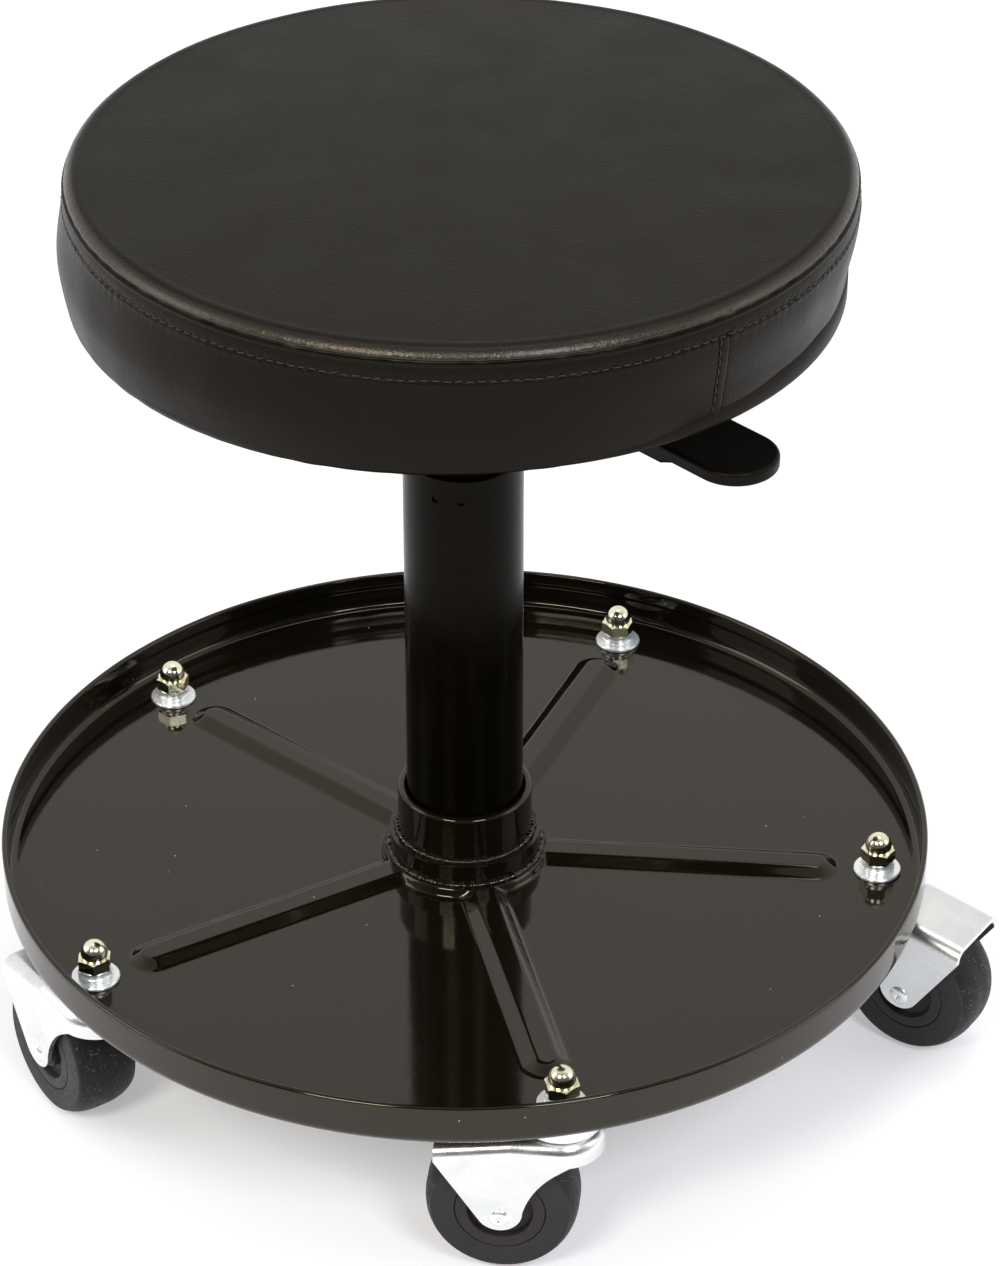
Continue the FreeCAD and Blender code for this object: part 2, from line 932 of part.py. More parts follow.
def flat_washer():
    washer = rod(washer_radius, tray_floor, washer_top)
    washer = washer.makeChamfer(washer_edge, [edge for edge in washer.Edges if edge.Closed])
    return washer.cut(rod(washer_bore_radius, tray_floor, washer_top))


def spring_washer():
    """Two slit coils under the nut, the upper one a little smaller."""
    waist_low = (washer_top + nut_base - spring_washer_waist_height) / 2
    waist_high = waist_low + spring_washer_waist_height
    edge = washer_edge
    ring = turned(
        (washer_bore_radius, washer_top),
        (spring_washer_radius - edge, washer_top),
        (spring_washer_radius, washer_top + edge),
        (spring_washer_radius, waist_low - edge),
        (spring_washer_radius - edge, waist_low),
        (spring_washer_waist_radius, waist_low),
        (spring_washer_waist_radius, waist_high),
        (spring_washer_upper_radius - edge, waist_high),
        (spring_washer_upper_radius, waist_high + edge),
        (spring_washer_upper_radius, nut_base - edge),
        (spring_washer_upper_radius - edge, nut_base),
        (washer_bore_radius, nut_base),
    )
    slit = Part.makeBox(
        spring_washer_radius + cut_overrun,
        spring_washer_slit,
        spring_washer_height + 2 * cut_overrun,
        FreeCAD.Vector(0, -spring_washer_slit / 2, washer_top - cut_overrun),
    )
    slit.rotate(FreeCAD.Vector(0, 0, washer_top), FreeCAD.Vector(1, 0, 0), spring_washer_slit_angle)
    return ring.cut(slit)


def acorn_nut():
    """Hexagon with bevelled corners under a domed cap, blind inside."""
    turn = 2 * math.pi / nut_sides
    corner_radius = nut_across_flats / 2 / math.cos(turn / 2)
    corners = [
        plan(corner_radius * math.cos(step * turn), corner_radius * math.sin(step * turn))
        for step in range(nut_sides + 1)
    ]
    top = nut_base + nut_height
    hexagon = raised(Part.Face(Part.makePolygon(corners)), nut_base, nut_base + nut_hex_height)
    bevel_drop = (corner_radius - nut_across_flats / 2) * math.tan(math.radians(nut_bevel_angle))
    bevel = turned(
        (0, nut_base),
        (corner_radius, nut_base),
        (corner_radius, nut_base + nut_hex_height - bevel_drop),
        (nut_across_flats / 2, nut_base + nut_hex_height),
        (0, nut_base + nut_hex_height),
    )
    dome_base = top - nut_dome_radius
    dome = turned(
        (0, nut_base),
        (nut_dome_radius, nut_base),
        (nut_dome_radius, dome_base),
        cap_points(nut_dome_radius, dome_base, nut_dome_radius),
    )
    nut = hexagon.common(bevel).fuse(dome).removeSplitter()
    return nut.cut(rod(stem_radius, nut_base, nut_base + nut_bore_depth))


# Casters


def caster_stem():
    """Threaded stem with a shoulder between the races and a riveted head under the fork."""
    head_top = bridge_underside - stem_gap
    head_base = head_top - stem_head_height
    shoulder_base = bridge_top + stem_gap
    top = nut_base + stem_thread_reach
    return turned(
        (0, head_base),
        (stem_head_radius, head_base),
        (stem_head_radius, head_top),
        (stem_neck_radius, head_top),
        (stem_neck_radius, shoulder_base),
        (stem_shoulder_radius, shoulder_base),
        (stem_shoulder_radius, race_underside),
        (stem_radius, race_underside),
        (stem_radius, top),
        (0, top),
    )


def swivel_groove():
    return Part.makeTorus(
        swivel_ball_circle,
        swivel_ball_diameter / 2 + running_clearance,
        FreeCAD.Vector(0, 0, bridge_top + swivel_gap / 2),
    )


def upper_race():
    """Pressed cup under the tray, with a track for the balls and a turned-down skirt."""
    cup = rod(race_radius, tray_underside - race_skirt_height, tray_underside)
    cup = cup.makeFillet(race_edge_radius, cup.Edges[:1])
    cup = cup.cut(rod(race_radius - race_skirt_wall, tray_underside - race_skirt_height, race_underside))
    return cup.cut(swivel_groove()).cut(rod(stem_radius, race_underside, tray_underside))


def swivel_balls():
    centre = FreeCAD.Vector(swivel_ball_circle, 0, bridge_top + swivel_gap / 2)
    ball = Part.makeSphere(swivel_ball_diameter / 2, centre)
    return Part.makeCompound(ring_of(ball, swivel_ball_count))


def channel_head(half, top, shoulder):
    """The level part of an inverted channel, closed round the stem, with round shoulders."""
    steps = (
        (fork_bend_reach, -half),
        (fork_bend_reach, half),
        (0, half),
        ((-half, 0), (0, -half)),
    )
    body = raised(outline(plan, (0, -half), steps), 0, top)
    rim = [
        edge
        for edge in body.Edges
        if edge.BoundBox.ZMin > top - edge_reach and edge.BoundBox.XMin < fork_bend_reach - edge_reach
    ]
    return body.makeFillet(shoulder, rim)


def channel_run(half, top, shoulder, reach):
    """The rest of the channel, open at its outer end, which falls by the bend's drop on its way to the fork's end."""
    side = shoulder * (1 - math.sqrt(0.5))
    low = axle_height - wheel_radius
    steps = (
        (half, low),
        (half, top - shoulder),
        ((half - side, top - side), (half - shoulder, top)),
        (shoulder - half, top),
        ((side - half, top - side), (-half, top - shoulder)),
    )
    face = around(outline(section, (-half, low), steps), 90)
    face.translate(FreeCAD.Vector(fork_bend_reach, 0, 0))
    fall = fork_bend_drop / (fork_reach - fork_bend_reach)
    run = reach - fork_bend_reach
    return face.extrude(FreeCAD.Vector(run, 0, -run * fall))


def channel(half, top, shoulder, reach):
    return fused([channel_head(half, top, shoulder), channel_run(half, top, shoulder, reach)])


def fork_side_outline():
    """The fork seen from its side: tapered legs, a hollowed heel and a skirt round the head."""
    corner_height = bridge_top - fork_outer_corner_drop
    skirt_low = bridge_top - skirt_height
    end_height = axle_height + fork_end_rise
    back = -fork_half - cut_overrun
    run = fork_reach - caster_trail
    drop = corner_height - end_height
    reach = math.hypot(run, drop)
    outer_turn = math.atan2(drop, run) - math.acos(fork_end_radius / reach)
    outer_x = caster_trail + fork_end_radius * math.cos(outer_turn)
    outer_z = end_height + fork_end_radius * math.sin(outer_turn)
    inner_x = caster_trail - fork_end_radius
    heel_middle = (
        -heel_offset + (inner_x + heel_offset) * heel_curve_shares[0],
        end_height + (skirt_low - end_height) * heel_curve_shares[1],
    )
    steps = (
        (back, bridge_top + cut_overrun),
        (fork_reach, bridge_top + cut_overrun),
        (fork_reach, corner_height),
        (outer_x, outer_z),
        ((caster_trail, end_height - fork_end_radius), (inner_x, end_height)),
        (heel_middle, (-heel_offset, skirt_low)),
    )
    face = outline(section, (back, skirt_low), steps)
    face.translate(FreeCAD.Vector(0, fork_half + cut_overrun, 0))
    return face.extrude(FreeCAD.Vector(0, -2 * (fork_half + cut_overrun), 0))


def caster_fork():
    outer = channel(fork_half, bridge_top, fork_shoulder_radius, fork_reach)
    inner = channel(
        fork_inner_half, bridge_underside, fork_shoulder_radius - fork_sheet, fork_reach + cut_overrun
    )
    fork = outer.cut(inner).common(fork_side_outline())
    fork = fork.cut(rod(stem_neck_radius + running_clearance, 0, bridge_top + cut_overrun))
    fork = fork.cut(swivel_groove())
    bore = crosswise(rod(axle_radius, -fork_half - cut_overrun, fork_half + cut_overrun), axle_height)
    bore.translate(FreeCAD.Vector(caster_trail, 0, 0))
    return fork.cut(bore)


def on_axle(shape):
    """A wheel piece built on the Z axis, moved to the axle of a caster that trails along X."""
    copy = crosswise(shape, axle_height)
    copy.translate(FreeCAD.Vector(caster_trail, 0, 0))
    return copy


def axle_head(side):
    """A domed rivet head with a dimple, outside one fork leg."""
    face = fork_half
    top = face + axle_head_height
    out_share, up_share = axle_head_bulge_shares
    bulge = (axle_head_radius * out_share, face + axle_head_height * up_share)
    head = turned(
        (0, face),
        (axle_head_radius, face),
        (bulge, (axle_dimple_radius, top)),
        (0, top - axle_dimple_depth),
    )
    if side < 0:
        head.rotate(ORIGIN, FreeCAD.Vector(1, 0, 0), 180)
    return head


def caster_axle():
    shank = rod(axle_radius, -fork_half, fork_half)
    return on_axle(fused([shank, axle_head(1), axle_head(-1)]))


def wheel_core():
    """Moulded core with a boss that stands out to the tyre's faces."""
    half = wheel_width / 2
    face = half - core_dish_depth
    bore = axle_radius + running_clearance
    core = turned(
        (bore, -half),
        (core_boss_radius, -half),
        (core_boss_radius, -face),
        (core_radius, -face),
        (core_radius, face),
        (core_boss_radius, face),
        (core_boss_radius, half),
        (bore, half),
    )
    return on_axle(core)


def wheel_tyre():
    """Solid tyre with a gently crowned tread and round shoulders."""
    half = wheel_width / 2 - tyre_face_drop
    flat = tread_flat_width / 2
    shoulder = wheel_radius - tread_shoulder_drop
    middle = (flat + half) / 2
    bend = shoulder + tread_shoulder_drop * math.sqrt(0.5)
    tyre = turned(
        (core_radius, -half),
        (shoulder, -half),
        ((bend, -middle), (wheel_radius, -flat)),
        (wheel_radius, flat),
        ((bend, middle), (shoulder, half)),
        (core_radius, half),
    )
    return on_axle(tyre)


def save_base():
    save("tray", tray())
    save("hub_ring", hub_ring())
    save("hub_collar", hub_collar())
    save("weld_beads", weld_beads())
    save("column_tube", column_tube())
    save("column_end_plate", column_end_plate())
    save("guide_sleeve", guide_sleeve())
    save("sleeve_pins", sleeve_pins())
    save("thrust_washer_lower", thrust_washer_lower())
    save("caster_stems", at_every_stem(caster_stem()))
    save("swivel_races", at_every_stem(upper_race()))
    save("swivel_balls", at_every_stem(swivel_balls()))
    save("flat_washers", at_every_stem(flat_washer()))
    save("spring_washers", at_every_stem(spring_washer()))
    save("acorn_nuts", at_every_stem(acorn_nut()))


def save_rod():
    save("piston_rod", piston_rod())
    save("piston", piston())
    save("rod_clip", rod_clip())
    save("thrust_washer_upper", thrust_washer_upper())
    save("thrust_balls", thrust_balls())
    save("bumper", bumper())


def save_seat():
    save("gas_cylinder", gas_cylinder())
    save("cylinder_gland", cylinder_gland())
    save("valve_body", valve_body())
    save("plate_socket", plate_socket())
    save("lever_bracket", lever_bracket())
    save("pivot_pin", pivot_pin())
    save("seat_plate", seat_plate())
    save("plate_screws", plate_screws())
    save("tee_nuts", tee_nuts())
    save("seat_board", seat_board())
    save("foam_pad", foam_pad())
    save("vinyl_cover", vinyl_cover())
    save("cover_staples", cover_staples())


def save_lever():
    save("release_pin", release_pin())
    save("lever_rod", lever_rod())
    save("lever_paddle", lever_paddle())


def save_casters():
    pieces = (
        ("caster_fork", caster_fork()),
        ("caster_axle", caster_axle()),
        ("wheel_core", wheel_core()),
        ("wheel_tyre", wheel_tyre()),
    )
    for index in range(caster_count):
        for name, shape in pieces:
            save(name + "_" + str(index + 1), at_caster(shape, index))


os.makedirs("parts", exist_ok=True)
save_base()
save_rod()
save_seat()
save_lever()
save_casters()
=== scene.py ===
import math

import bpy
import numpy as np
from mathutils import Matrix, Vector


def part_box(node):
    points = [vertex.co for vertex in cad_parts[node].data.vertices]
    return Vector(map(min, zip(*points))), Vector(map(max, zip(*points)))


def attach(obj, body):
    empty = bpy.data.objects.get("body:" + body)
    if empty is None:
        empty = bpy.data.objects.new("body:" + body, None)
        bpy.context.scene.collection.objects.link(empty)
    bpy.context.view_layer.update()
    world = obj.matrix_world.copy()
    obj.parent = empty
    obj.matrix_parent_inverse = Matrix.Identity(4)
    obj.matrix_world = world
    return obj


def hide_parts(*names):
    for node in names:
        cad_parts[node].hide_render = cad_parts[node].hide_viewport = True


# A creeper seat in a pale studio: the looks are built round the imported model.
# Outlines are worked out in millimetres, and MM turns them into metres.

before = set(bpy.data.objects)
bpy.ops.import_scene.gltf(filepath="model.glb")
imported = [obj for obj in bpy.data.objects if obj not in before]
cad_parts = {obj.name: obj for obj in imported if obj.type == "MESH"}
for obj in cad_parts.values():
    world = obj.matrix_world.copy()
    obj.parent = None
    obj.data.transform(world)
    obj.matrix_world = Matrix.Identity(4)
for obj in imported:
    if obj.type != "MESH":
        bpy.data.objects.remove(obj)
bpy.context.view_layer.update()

MM = 0.001
SEED = 11

# Cushion outline in millimetres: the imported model's, with a fuller roll and a flatter
# crown that reach the same height
HEM_RADIUS = 111.85
BASE_HEIGHT = 358.5
FOOT_RADIUS = 154.6
FOOT_HEIGHT = 3.5
BULGE_RADIUS = 157.6
BULGE_HEIGHT = 391.5
SEAM_RADIUS = 156.2
SEAM_HEIGHT = 408.3
ROLL_WIDTH = 7.4
ROLL_RISE = 4.7
ROLL_BULGE = 1.75
CROWN_RISE = 1.7
CROWN_FLAT = 40.0
COVER = 1.0
BOARD_RADIUS = 153.2
BOARD_TOP = 371.5
BOARD_GAP = 0.25

# Samples along each run of that outline, from the hem to the middle of the top, and
# columns round the fine mesh away from the band's seam and round the cloth
HEM_STEPS = 400
FOOT_STEPS = 200
SIDE_STEPS = 600
ROLL_STEPS = 300
CROWN_STEPS = 800
MIDDLE_STEPS = 200
EVEN_COLUMNS = 1060
CLOTH_COLUMNS = 216

# The vinyl gets glossier between these distances from the axis and heights, in metres
ROLL_GLOSS_RADII = (0.1522, 0.1548)
ROLL_GLOSS_HEIGHTS = (0.4077, 0.4084)

# The cover as cloth: its frames, how near a seam a row is held and the most that a
# point may stand out, both in millimetres, and the rounds of smoothing after it
CLOTH_FRAMES = 20
CLOTH_HOLD = 1.2
CLOTH_CAP = 1.6
CLOTH_SMOOTHING = 14

# Sewing: a stitch leaves STITCH_GAP of its pitch free at each end
STITCH_COUNT = 234
STITCH_DROP = 7.5
STITCH_GAP = 0.08
STITCH_SHARE = 0.84
STITCH_DIPS = (-0.30, 0.04, 0.16, 0.16, 0.04, -0.30)
THREAD_RADIUS = 0.30
BAND_SEAM_ANGLE = math.radians(-52.0)
BAND_STITCH_PITCH = 4.3
BAND_OVERLAP = 3.3

# The foot of the cushion stands out a little on the left and in on the right
LEAN = 3.2
LEAN_ANGLE = math.radians(178.0)

# Tray outline in millimetres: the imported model's, with a smaller and steeper pad
TRAY_RADIUS = 200.0
TRAY_SHEET = 1.3
TRAY_FLOOR = 78.3
TRAY_TOP = 96.8
TRAY_CORNER = 5.0
HEM_WIDTH = 2.6
HEM_HEIGHT = 6.0
TRAY_BORE = 25.5
TRAY_COLUMNS = 1260
RIB_HEIGHT = 3.5
RIB_BASE = 9.75
RIB_TOP = 4.5
RIB_REACH = 152.25
RIB_CREST_RADIUS = 2.5
RIB_FOOT_RADIUS = 3.0
RIB_BLEND = 1.6
PAD_REACH = 37.3
PAD_SLOPE = 2.7

# Casters: the first stem's angle, each caster's heading in degrees, and the wheel
FIRST_STEM = 66.8
CASTER_COUNT = 5
CASTER_HEADINGS = (150.0, 60.0, 125.0, 173.5, -34.0)
WHEEL_RADIUS = 31.5
WHEEL_WIDTH = 29.0
CORE_RADIUS = 18.6
HOLLOW_RADIUS = 13.6
WHEEL_COLUMNS = 128
WHEEL_SHARP_ANGLE = 32

# Weld beads
BEAD_COLUMNS = 900
BEAD_ROWS = 13

# Black finishes reflect a little warmer than the light that falls on them
WARM = (1.0, 0.89, 0.74)

rng = np.random.default_rng(SEED)


# Node looks


def new_node(tree, kind, values=None, **settings):
    """A node with its own settings, given by keyword, and its plain inputs by name."""
    node = tree.nodes.new(kind)
    for key, value in settings.items():
        setattr(node, key, value)
    for key, value in (values or {}).items():
        node.inputs[key].default_value = value
    return node


def maths_node(tree, operation, *values):
    """One step of arithmetic; each value is a number or a socket."""
    node = new_node(tree, "ShaderNodeMath", operation=operation)
    for socket, value in zip(node.inputs, values):
        if isinstance(value, (int, float)):
            socket.default_value = value
        else:
            tree.links.new(value, socket)
    return node.outputs["Value"]


def range_node(tree, value, low, high, to_low, to_high, easing="LINEAR"):
    """A value from one range, carried over to another and kept inside it."""
    limits = {"From Min": low, "From Max": high, "To Min": to_low, "To Max": to_high}
    node = new_node(tree, "ShaderNodeMapRange", limits, interpolation_type=easing)
    tree.links.new(value, node.inputs["Value"])
    return node.outputs["Result"]


def empty_tree(owner, output_kind):
    """The cleared node tree of a material or world, and its output."""
    owner.use_nodes = True
    owner.node_tree.nodes.clear()
    return owner.node_tree, owner.node_tree.nodes.new(output_kind)


class Look:
    """One material, made from nodes that follow the object's own coordinates."""

    def __init__(self, name, metallic=0.0, specular=0.5, tint=(1.0, 1.0, 1.0)):
        self.material = bpy.data.materials.new(name)
        self.tree, output = empty_tree(self.material, "ShaderNodeOutputMaterial")
        self.shader = new_node(self.tree, "ShaderNodeBsdfPrincipled", {
            "Metallic": metallic,
            "Specular IOR Level": specular,
            "Specular Tint": (*tint, 1.0),
        })
        self.link(self.shader.outputs["BSDF"], output.inputs["Surface"])
        self.place = self.tree.nodes.new("ShaderNodeTexCoord").outputs["Object"]

    def link(self, out, into):
        self.tree.links.new(out, into)

    def stretched(self, x, y, z):
        """The object's coordinates, scaled per axis."""
        node = new_node(self.tree, "ShaderNodeMapping", {"Scale": (x, y, z)})
        self.link(self.place, node.inputs["Vector"])
        return node.outputs["Vector"]

    def axis(self, name):
        """One of the object's coordinates."""
        node = self.tree.nodes.new("ShaderNodeSeparateXYZ")
        self.link(self.place, node.inputs["Vector"])
        return node.outputs[name]

    def noise(self, scale, detail=3.0, roughness=0.5, place=None, distortion=0.0):
        node = new_node(self.tree, "ShaderNodeTexNoise", {
            "Scale": scale, "Detail": detail, "Roughness": roughness, "Distortion": distortion,
        })
        self.link(place or self.place, node.inputs["Vector"])
        return node.outputs["Fac"]

    def cells(self, scale, feature="F1"):
        """Distance from the nearest of many scattered points."""
        node = new_node(self.tree, "ShaderNodeTexVoronoi", {"Scale": scale}, feature=feature)
        self.link(self.place, node.inputs["Vector"])
        return node.outputs["Distance"]

    def spread(self, value, low, high, to_low=0.0, to_high=1.0):
        return range_node(self.tree, value, low, high, to_low, to_high)

    def maths(self, operation, *values):
        return maths_node(self.tree, operation, *values)

    def blended(self, factor, first, second):
        """A colour between two; each is a colour or a socket."""
        node = new_node(self.tree, "ShaderNodeMix", data_type="RGBA")
        self.link(factor, node.inputs["Factor"])
        for socket, value in ((node.inputs["A"], first), (node.inputs["B"], second)):
            if isinstance(value, tuple):
                socket.default_value = (*value, 1.0)
            else:
                self.link(value, socket)
        return node.outputs["Result"]

    def colour(self, value):
        self.link(value, self.shader.inputs["Base Color"])

    def roughness(self, value):
        self.link(value, self.shader.inputs["Roughness"])

    def bump(self, height, distance, strength=1.0, under=None):
        """Relief of the given height in metres, over the relief of an earlier one."""
        node = new_node(self.tree, "ShaderNodeBump", {"Strength": strength, "Distance": distance})
        self.link(height, node.inputs["Height"])
        if under is not None:
            self.link(under, node.inputs["Normal"])
        self.link(node.outputs["Normal"], self.shader.inputs["Normal"])
        return node.outputs["Normal"]


def vinyl_look():
    """Black vinyl: pebbled grain, slow changes of tone and gloss, shinier on the rolled edge."""
    look = Look("vinyl", tint=WARM)
    tone = look.noise(14.0, 4.0)
    look.colour(look.blended(tone, (0.0026, 0.0020, 0.0010), (0.0044, 0.0034, 0.0019)))
    x, y, z = (look.axis(name) for name in "XYZ")
    squares = look.maths("ADD", look.maths("MULTIPLY", x, x), look.maths("MULTIPLY", y, y))
    out = look.maths("SQRT", squares)
    outward = look.spread(out, *ROLL_GLOSS_RADII)
    upward = look.spread(z, *ROLL_GLOSS_HEIGHTS)
    roll = look.maths("MULTIPLY", outward, upward)
    shine = look.spread(roll, 0.0, 1.0, 0.105, 0.62)
    look.link(shine, look.shader.inputs["Specular IOR Level"])
    gloss = look.noise(38.0, 4.0, 0.6)
    rough = look.spread(gloss, 0.3, 0.7, 0.33, 0.41)
    look.roughness(look.maths("SUBTRACT", rough, look.maths("MULTIPLY", roll, 0.05)))
    pebbles = look.cells(1350.0, "SMOOTH_F1")
    micro = look.noise(3600.0, 2.0)
    grain = look.maths(
        "ADD", look.maths("MULTIPLY", pebbles, 0.75), look.maths("MULTIPLY", micro, 0.25)
    )
    slow = look.bump(look.noise(55.0, 2.0), 0.0011, 0.05)
    look.bump(grain, 0.00015, under=slow)
    return look.material


def paint_look(name, tones, rough, peel, dust=0.0, specular=0.42):
    """Enamel: orange peel, faint haze and, where it lies open, a few specks of dust."""
    look = Look(name, specular=specular, tint=WARM)
    base = look.blended(look.noise(21.0, 4.0, 0.6), *tones)
    rough = look.spread(look.noise(60.0, 4.0, 0.6), 0.3, 0.7, *rough)
    if dust:
        near = look.cells(85.0)
        speck = look.spread(near, 0.022, 0.030, 1.0, 0.0)
        chosen = look.spread(look.noise(31.0, 1.0), 0.52, 0.54, 0.0, dust)
        spot = look.maths("MULTIPLY", speck, chosen)
        base = look.blended(spot, base, (0.42, 0.41, 0.38))
        rough = look.maths("ADD", rough, look.maths("MULTIPLY", spot, 0.4))
    look.colour(base)
    look.roughness(rough)
    wave = look.bump(look.noise(230.0, 2.0), peel)
    look.bump(look.noise(900.0, 2.0), peel * 0.2, under=wave)
    return look.material


def zinc_look(name, tones, rough, metallic=1.0):
    """Bright plating with faint passivation tints and fine drawing marks."""
    look = Look(name, metallic=metallic)
    tint = look.noise(48.0, 3.0, 0.55, distortion=0.6)
    mottle = look.spread(tint, 0.35, 0.65)
    base = look.blended(mottle, *tones)
    stain = look.spread(look.noise(60.0, 3.0, 0.55), 0.55, 0.8, 0.0, 0.16)
    look.colour(look.blended(stain, base, (0.60, 0.61, 0.60)))
    look.roughness(look.spread(look.noise(90.0), 0.3, 0.7, *rough))
    look.bump(look.noise(70.0, 2.0), 0.0002, 0.10)
    return look.material


def nickel_look():
    """Polished nickel, a little yellow, with the slightest unevenness."""
    look = Look("polished_nickel", metallic=1.0)
    tint = look.spread(look.noise(190.0, 2.0), 0.35, 0.65)
    look.colour(look.blended(tint, (0.78, 0.73, 0.52), (0.90, 0.87, 0.70)))
    look.roughness(look.spread(look.noise(800.0, 3.0), 0.3, 0.7, 0.11, 0.19))
    look.bump(look.noise(700.0, 2.0), 0.00003, 0.5)
    return look.material


def steel_look():
    """Ground steel, with fine marks across its height."""
    look = Look("ground_steel", metallic=1.0)
    lines = look.noise(90.0, place=look.stretched(1.0, 1.0, 22.0))
    look.colour(look.blended(lines, (0.50, 0.50, 0.51), (0.66, 0.66, 0.67)))
    look.roughness(look.spread(lines, 0.3, 0.7, 0.18, 0.34))
    look.bump(lines, 0.00004, 0.6)
    return look.material


def plastic_look(name, tones, rough, texture, depth, specular=0.4):
    """Plastic, rubber, thread or foam: two close tones under a fine even texture."""
    look = Look(name, specular=specular, tint=WARM)
    look.colour(look.blended(look.noise(70.0, 4.0), *tones))
    look.roughness(look.spread(look.noise(300.0), 0.3, 0.7, *rough))
    look.bump(look.noise(texture, 3.0, 0.6), depth, 0.8)
    return look.material


def plywood_look():
    """Birch plywood: long grain across the faces and thin plies at the edge."""
    look = Look("plywood", specular=0.3)
    grain = look.noise(26.0, 6.0, 0.6, place=look.stretched(1.0, 9.0, 9.0), distortion=0.8)
    pores = look.noise(260.0, 3.0, 0.6, place=look.stretched(1.0, 14.0, 14.0))
    face = look.blended(grain, (0.24, 0.16, 0.09), (0.38, 0.28, 0.17))
    plies = new_node(
        look.tree, "ShaderNodeTexWave", {"Scale": 130.0, "Distortion": 0.4}, bands_direction="Z"
    )
    look.link(look.place, plies.inputs["Vector"])
    layer = look.spread(plies.outputs["Fac"], 0.2, 0.8, 0.0, 0.45)
    layered = look.blended(layer, face, (0.27, 0.17, 0.09))
    pore = look.spread(pores, 0.55, 0.75, 0.0, 0.5)
    look.colour(look.blended(pore, layered, (0.30, 0.19, 0.10)))
    look.roughness(look.spread(pores, 0.3, 0.7, 0.55, 0.75))
    look.bump(pores, 0.0001, 0.7)
    return look.material


def tyre_look():
    """Grey-black rubber with a dusty tread, the tread's rubber painted darker as shade; the
    wheel's own Z runs along its axle.
    """
    look = Look("tyre_rubber", specular=0.22)
    across = look.maths("ABSOLUTE", look.axis("Z"))
    tread = look.spread(across, 0.0126, 0.0134, 1.0, 0.0)
    dust = look.spread(look.noise(420.0, 5.0, 0.75), 0.50, 0.66)
    specks = look.spread(look.cells(900.0), 0.16, 0.24, 0.9, 0.0)
    chosen = look.spread(look.noise(260.0, 2.0), 0.50, 0.56)
    dirt = look.maths("MULTIPLY", tread, look.maths("MULTIPLY", specks, chosen))
    film = look.maths("MULTIPLY", look.maths("MULTIPLY", tread, dust), 0.30)
    rubber = look.blended(look.noise(90.0, 4.0), (0.020, 0.019, 0.019), (0.032, 0.030, 0.030))
    # Painted shade: the tread's rubber is set darker than the flank's, standing in for the shade
    # it lies in under the tray; the dust film and specks over it are real dust
    base = look.blended(tread, rubber, (0.0095, 0.0085, 0.0078))
    dusty = look.blended(film, base, (0.060, 0.056, 0.050))
    look.colour(look.blended(dirt, dusty, (0.24, 0.23, 0.21)))
    look.roughness(look.spread(dust, 0.0, 1.0, 0.48, 0.72))
    fine = look.bump(look.noise(1500.0, 3.0), 0.00005, 0.7)
    look.bump(look.noise(300.0, 4.0, 0.7), 0.0002, 0.5, under=fine)
    return look.material


looks = {
    "vinyl": vinyl_look(),
    "thread": plastic_look(
        "thread", ((0.012, 0.011, 0.009), (0.030, 0.027, 0.023)), (0.35, 0.5), 2600.0, 0.00008
    ),
    "gloss": paint_look(
        "gloss_enamel", ((0.0036, 0.0028, 0.0014), (0.0058, 0.0046, 0.0026)), (0.05, 0.10),
        0.000012, dust=1.0, specular=0.48,
    ),
    "column": paint_look(
        "column_enamel", ((0.0014, 0.0010, 0.0005), (0.0026, 0.0020, 0.0011)), (0.16, 0.26),
        0.00003, specular=0.07,
    ),
    "satin": paint_look(
        "satin_enamel", ((0.008, 0.008, 0.008), (0.014, 0.013, 0.013)), (0.34, 0.46), 0.00004
    ),
    "zinc": zinc_look("zinc_plate", ((0.74, 0.76, 0.76), (0.84, 0.85, 0.84)), (0.22, 0.32)),
    "bright_zinc": zinc_look(
        "washer_zinc", ((0.80, 0.84, 0.86), (0.90, 0.91, 0.89)), (0.20, 0.30), metallic=0.72
    ),
    "nickel": nickel_look(),
    "steel": steel_look(),
    "plastic": plastic_look(
        "moulded_plastic", ((0.0016, 0.0013, 0.0009), (0.0032, 0.0027, 0.0020)), (0.32, 0.44),
        1300.0, 0.00005, specular=0.09,
    ),
    "core": plastic_look(
        "wheel_plastic", ((0.021, 0.020, 0.020), (0.031, 0.029, 0.029)), (0.38, 0.52),
        700.0, 0.00006, specular=0.22,
    ),
    "tyre": tyre_look(),
    "rubber": plastic_look(
        "bumper_rubber", ((0.014, 0.014, 0.014), (0.024, 0.023, 0.022)), (0.55, 0.7), 900.0, 0.0001
    ),
    "plywood": plywood_look(),
    "foam": plastic_look(
        "open_foam", ((0.62, 0.57, 0.42), (0.74, 0.70, 0.56)), (0.8, 0.95), 900.0, 0.0005
    ),
}


def per_caster(stem):
    """The names of one node of each caster."""
    return tuple(f"{stem}_{index}" for index in range(1, CASTER_COUNT + 1))


node_looks = {
    "gloss": ("tray", "hub_ring", "hub_collar", "weld_beads", "column_end_plate"),
    "column": ("column_tube", "gas_cylinder"),
    "satin": ("lever_bracket", "seat_plate", "plate_socket"),
    "zinc": (
        "caster_stems", "swivel_races", "tee_nuts", "plate_screws", *per_caster("caster_fork"),
    ),
    "bright_zinc": (
        "flat_washers", "spring_washers", "cylinder_gland", *per_caster("caster_axle"),
    ),
    "nickel": ("acorn_nuts",),
    "steel": (
        "thrust_washer_lower", "thrust_washer_upper", "thrust_balls", "piston_rod", "piston",
        "rod_clip", "valve_body", "release_pin", "lever_rod", "pivot_pin", "swivel_balls",
        "cover_staples",
    ),
    "plastic": ("guide_sleeve", "lever_paddle", "sleeve_pins"),
    "core": per_caster("wheel_core"),
    "tyre": per_caster("wheel_tyre"),
    "rubber": ("bumper",),
    "plywood": ("seat_board",),
    "foam": ("foam_pad",),
    "vinyl": ("vinyl_cover",),
}
for look_name, names in node_looks.items():
    for name in names:
        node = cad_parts[name]
        node.data.materials.clear()
        node.data.materials.append(looks[look_name])


# Mesh helpers


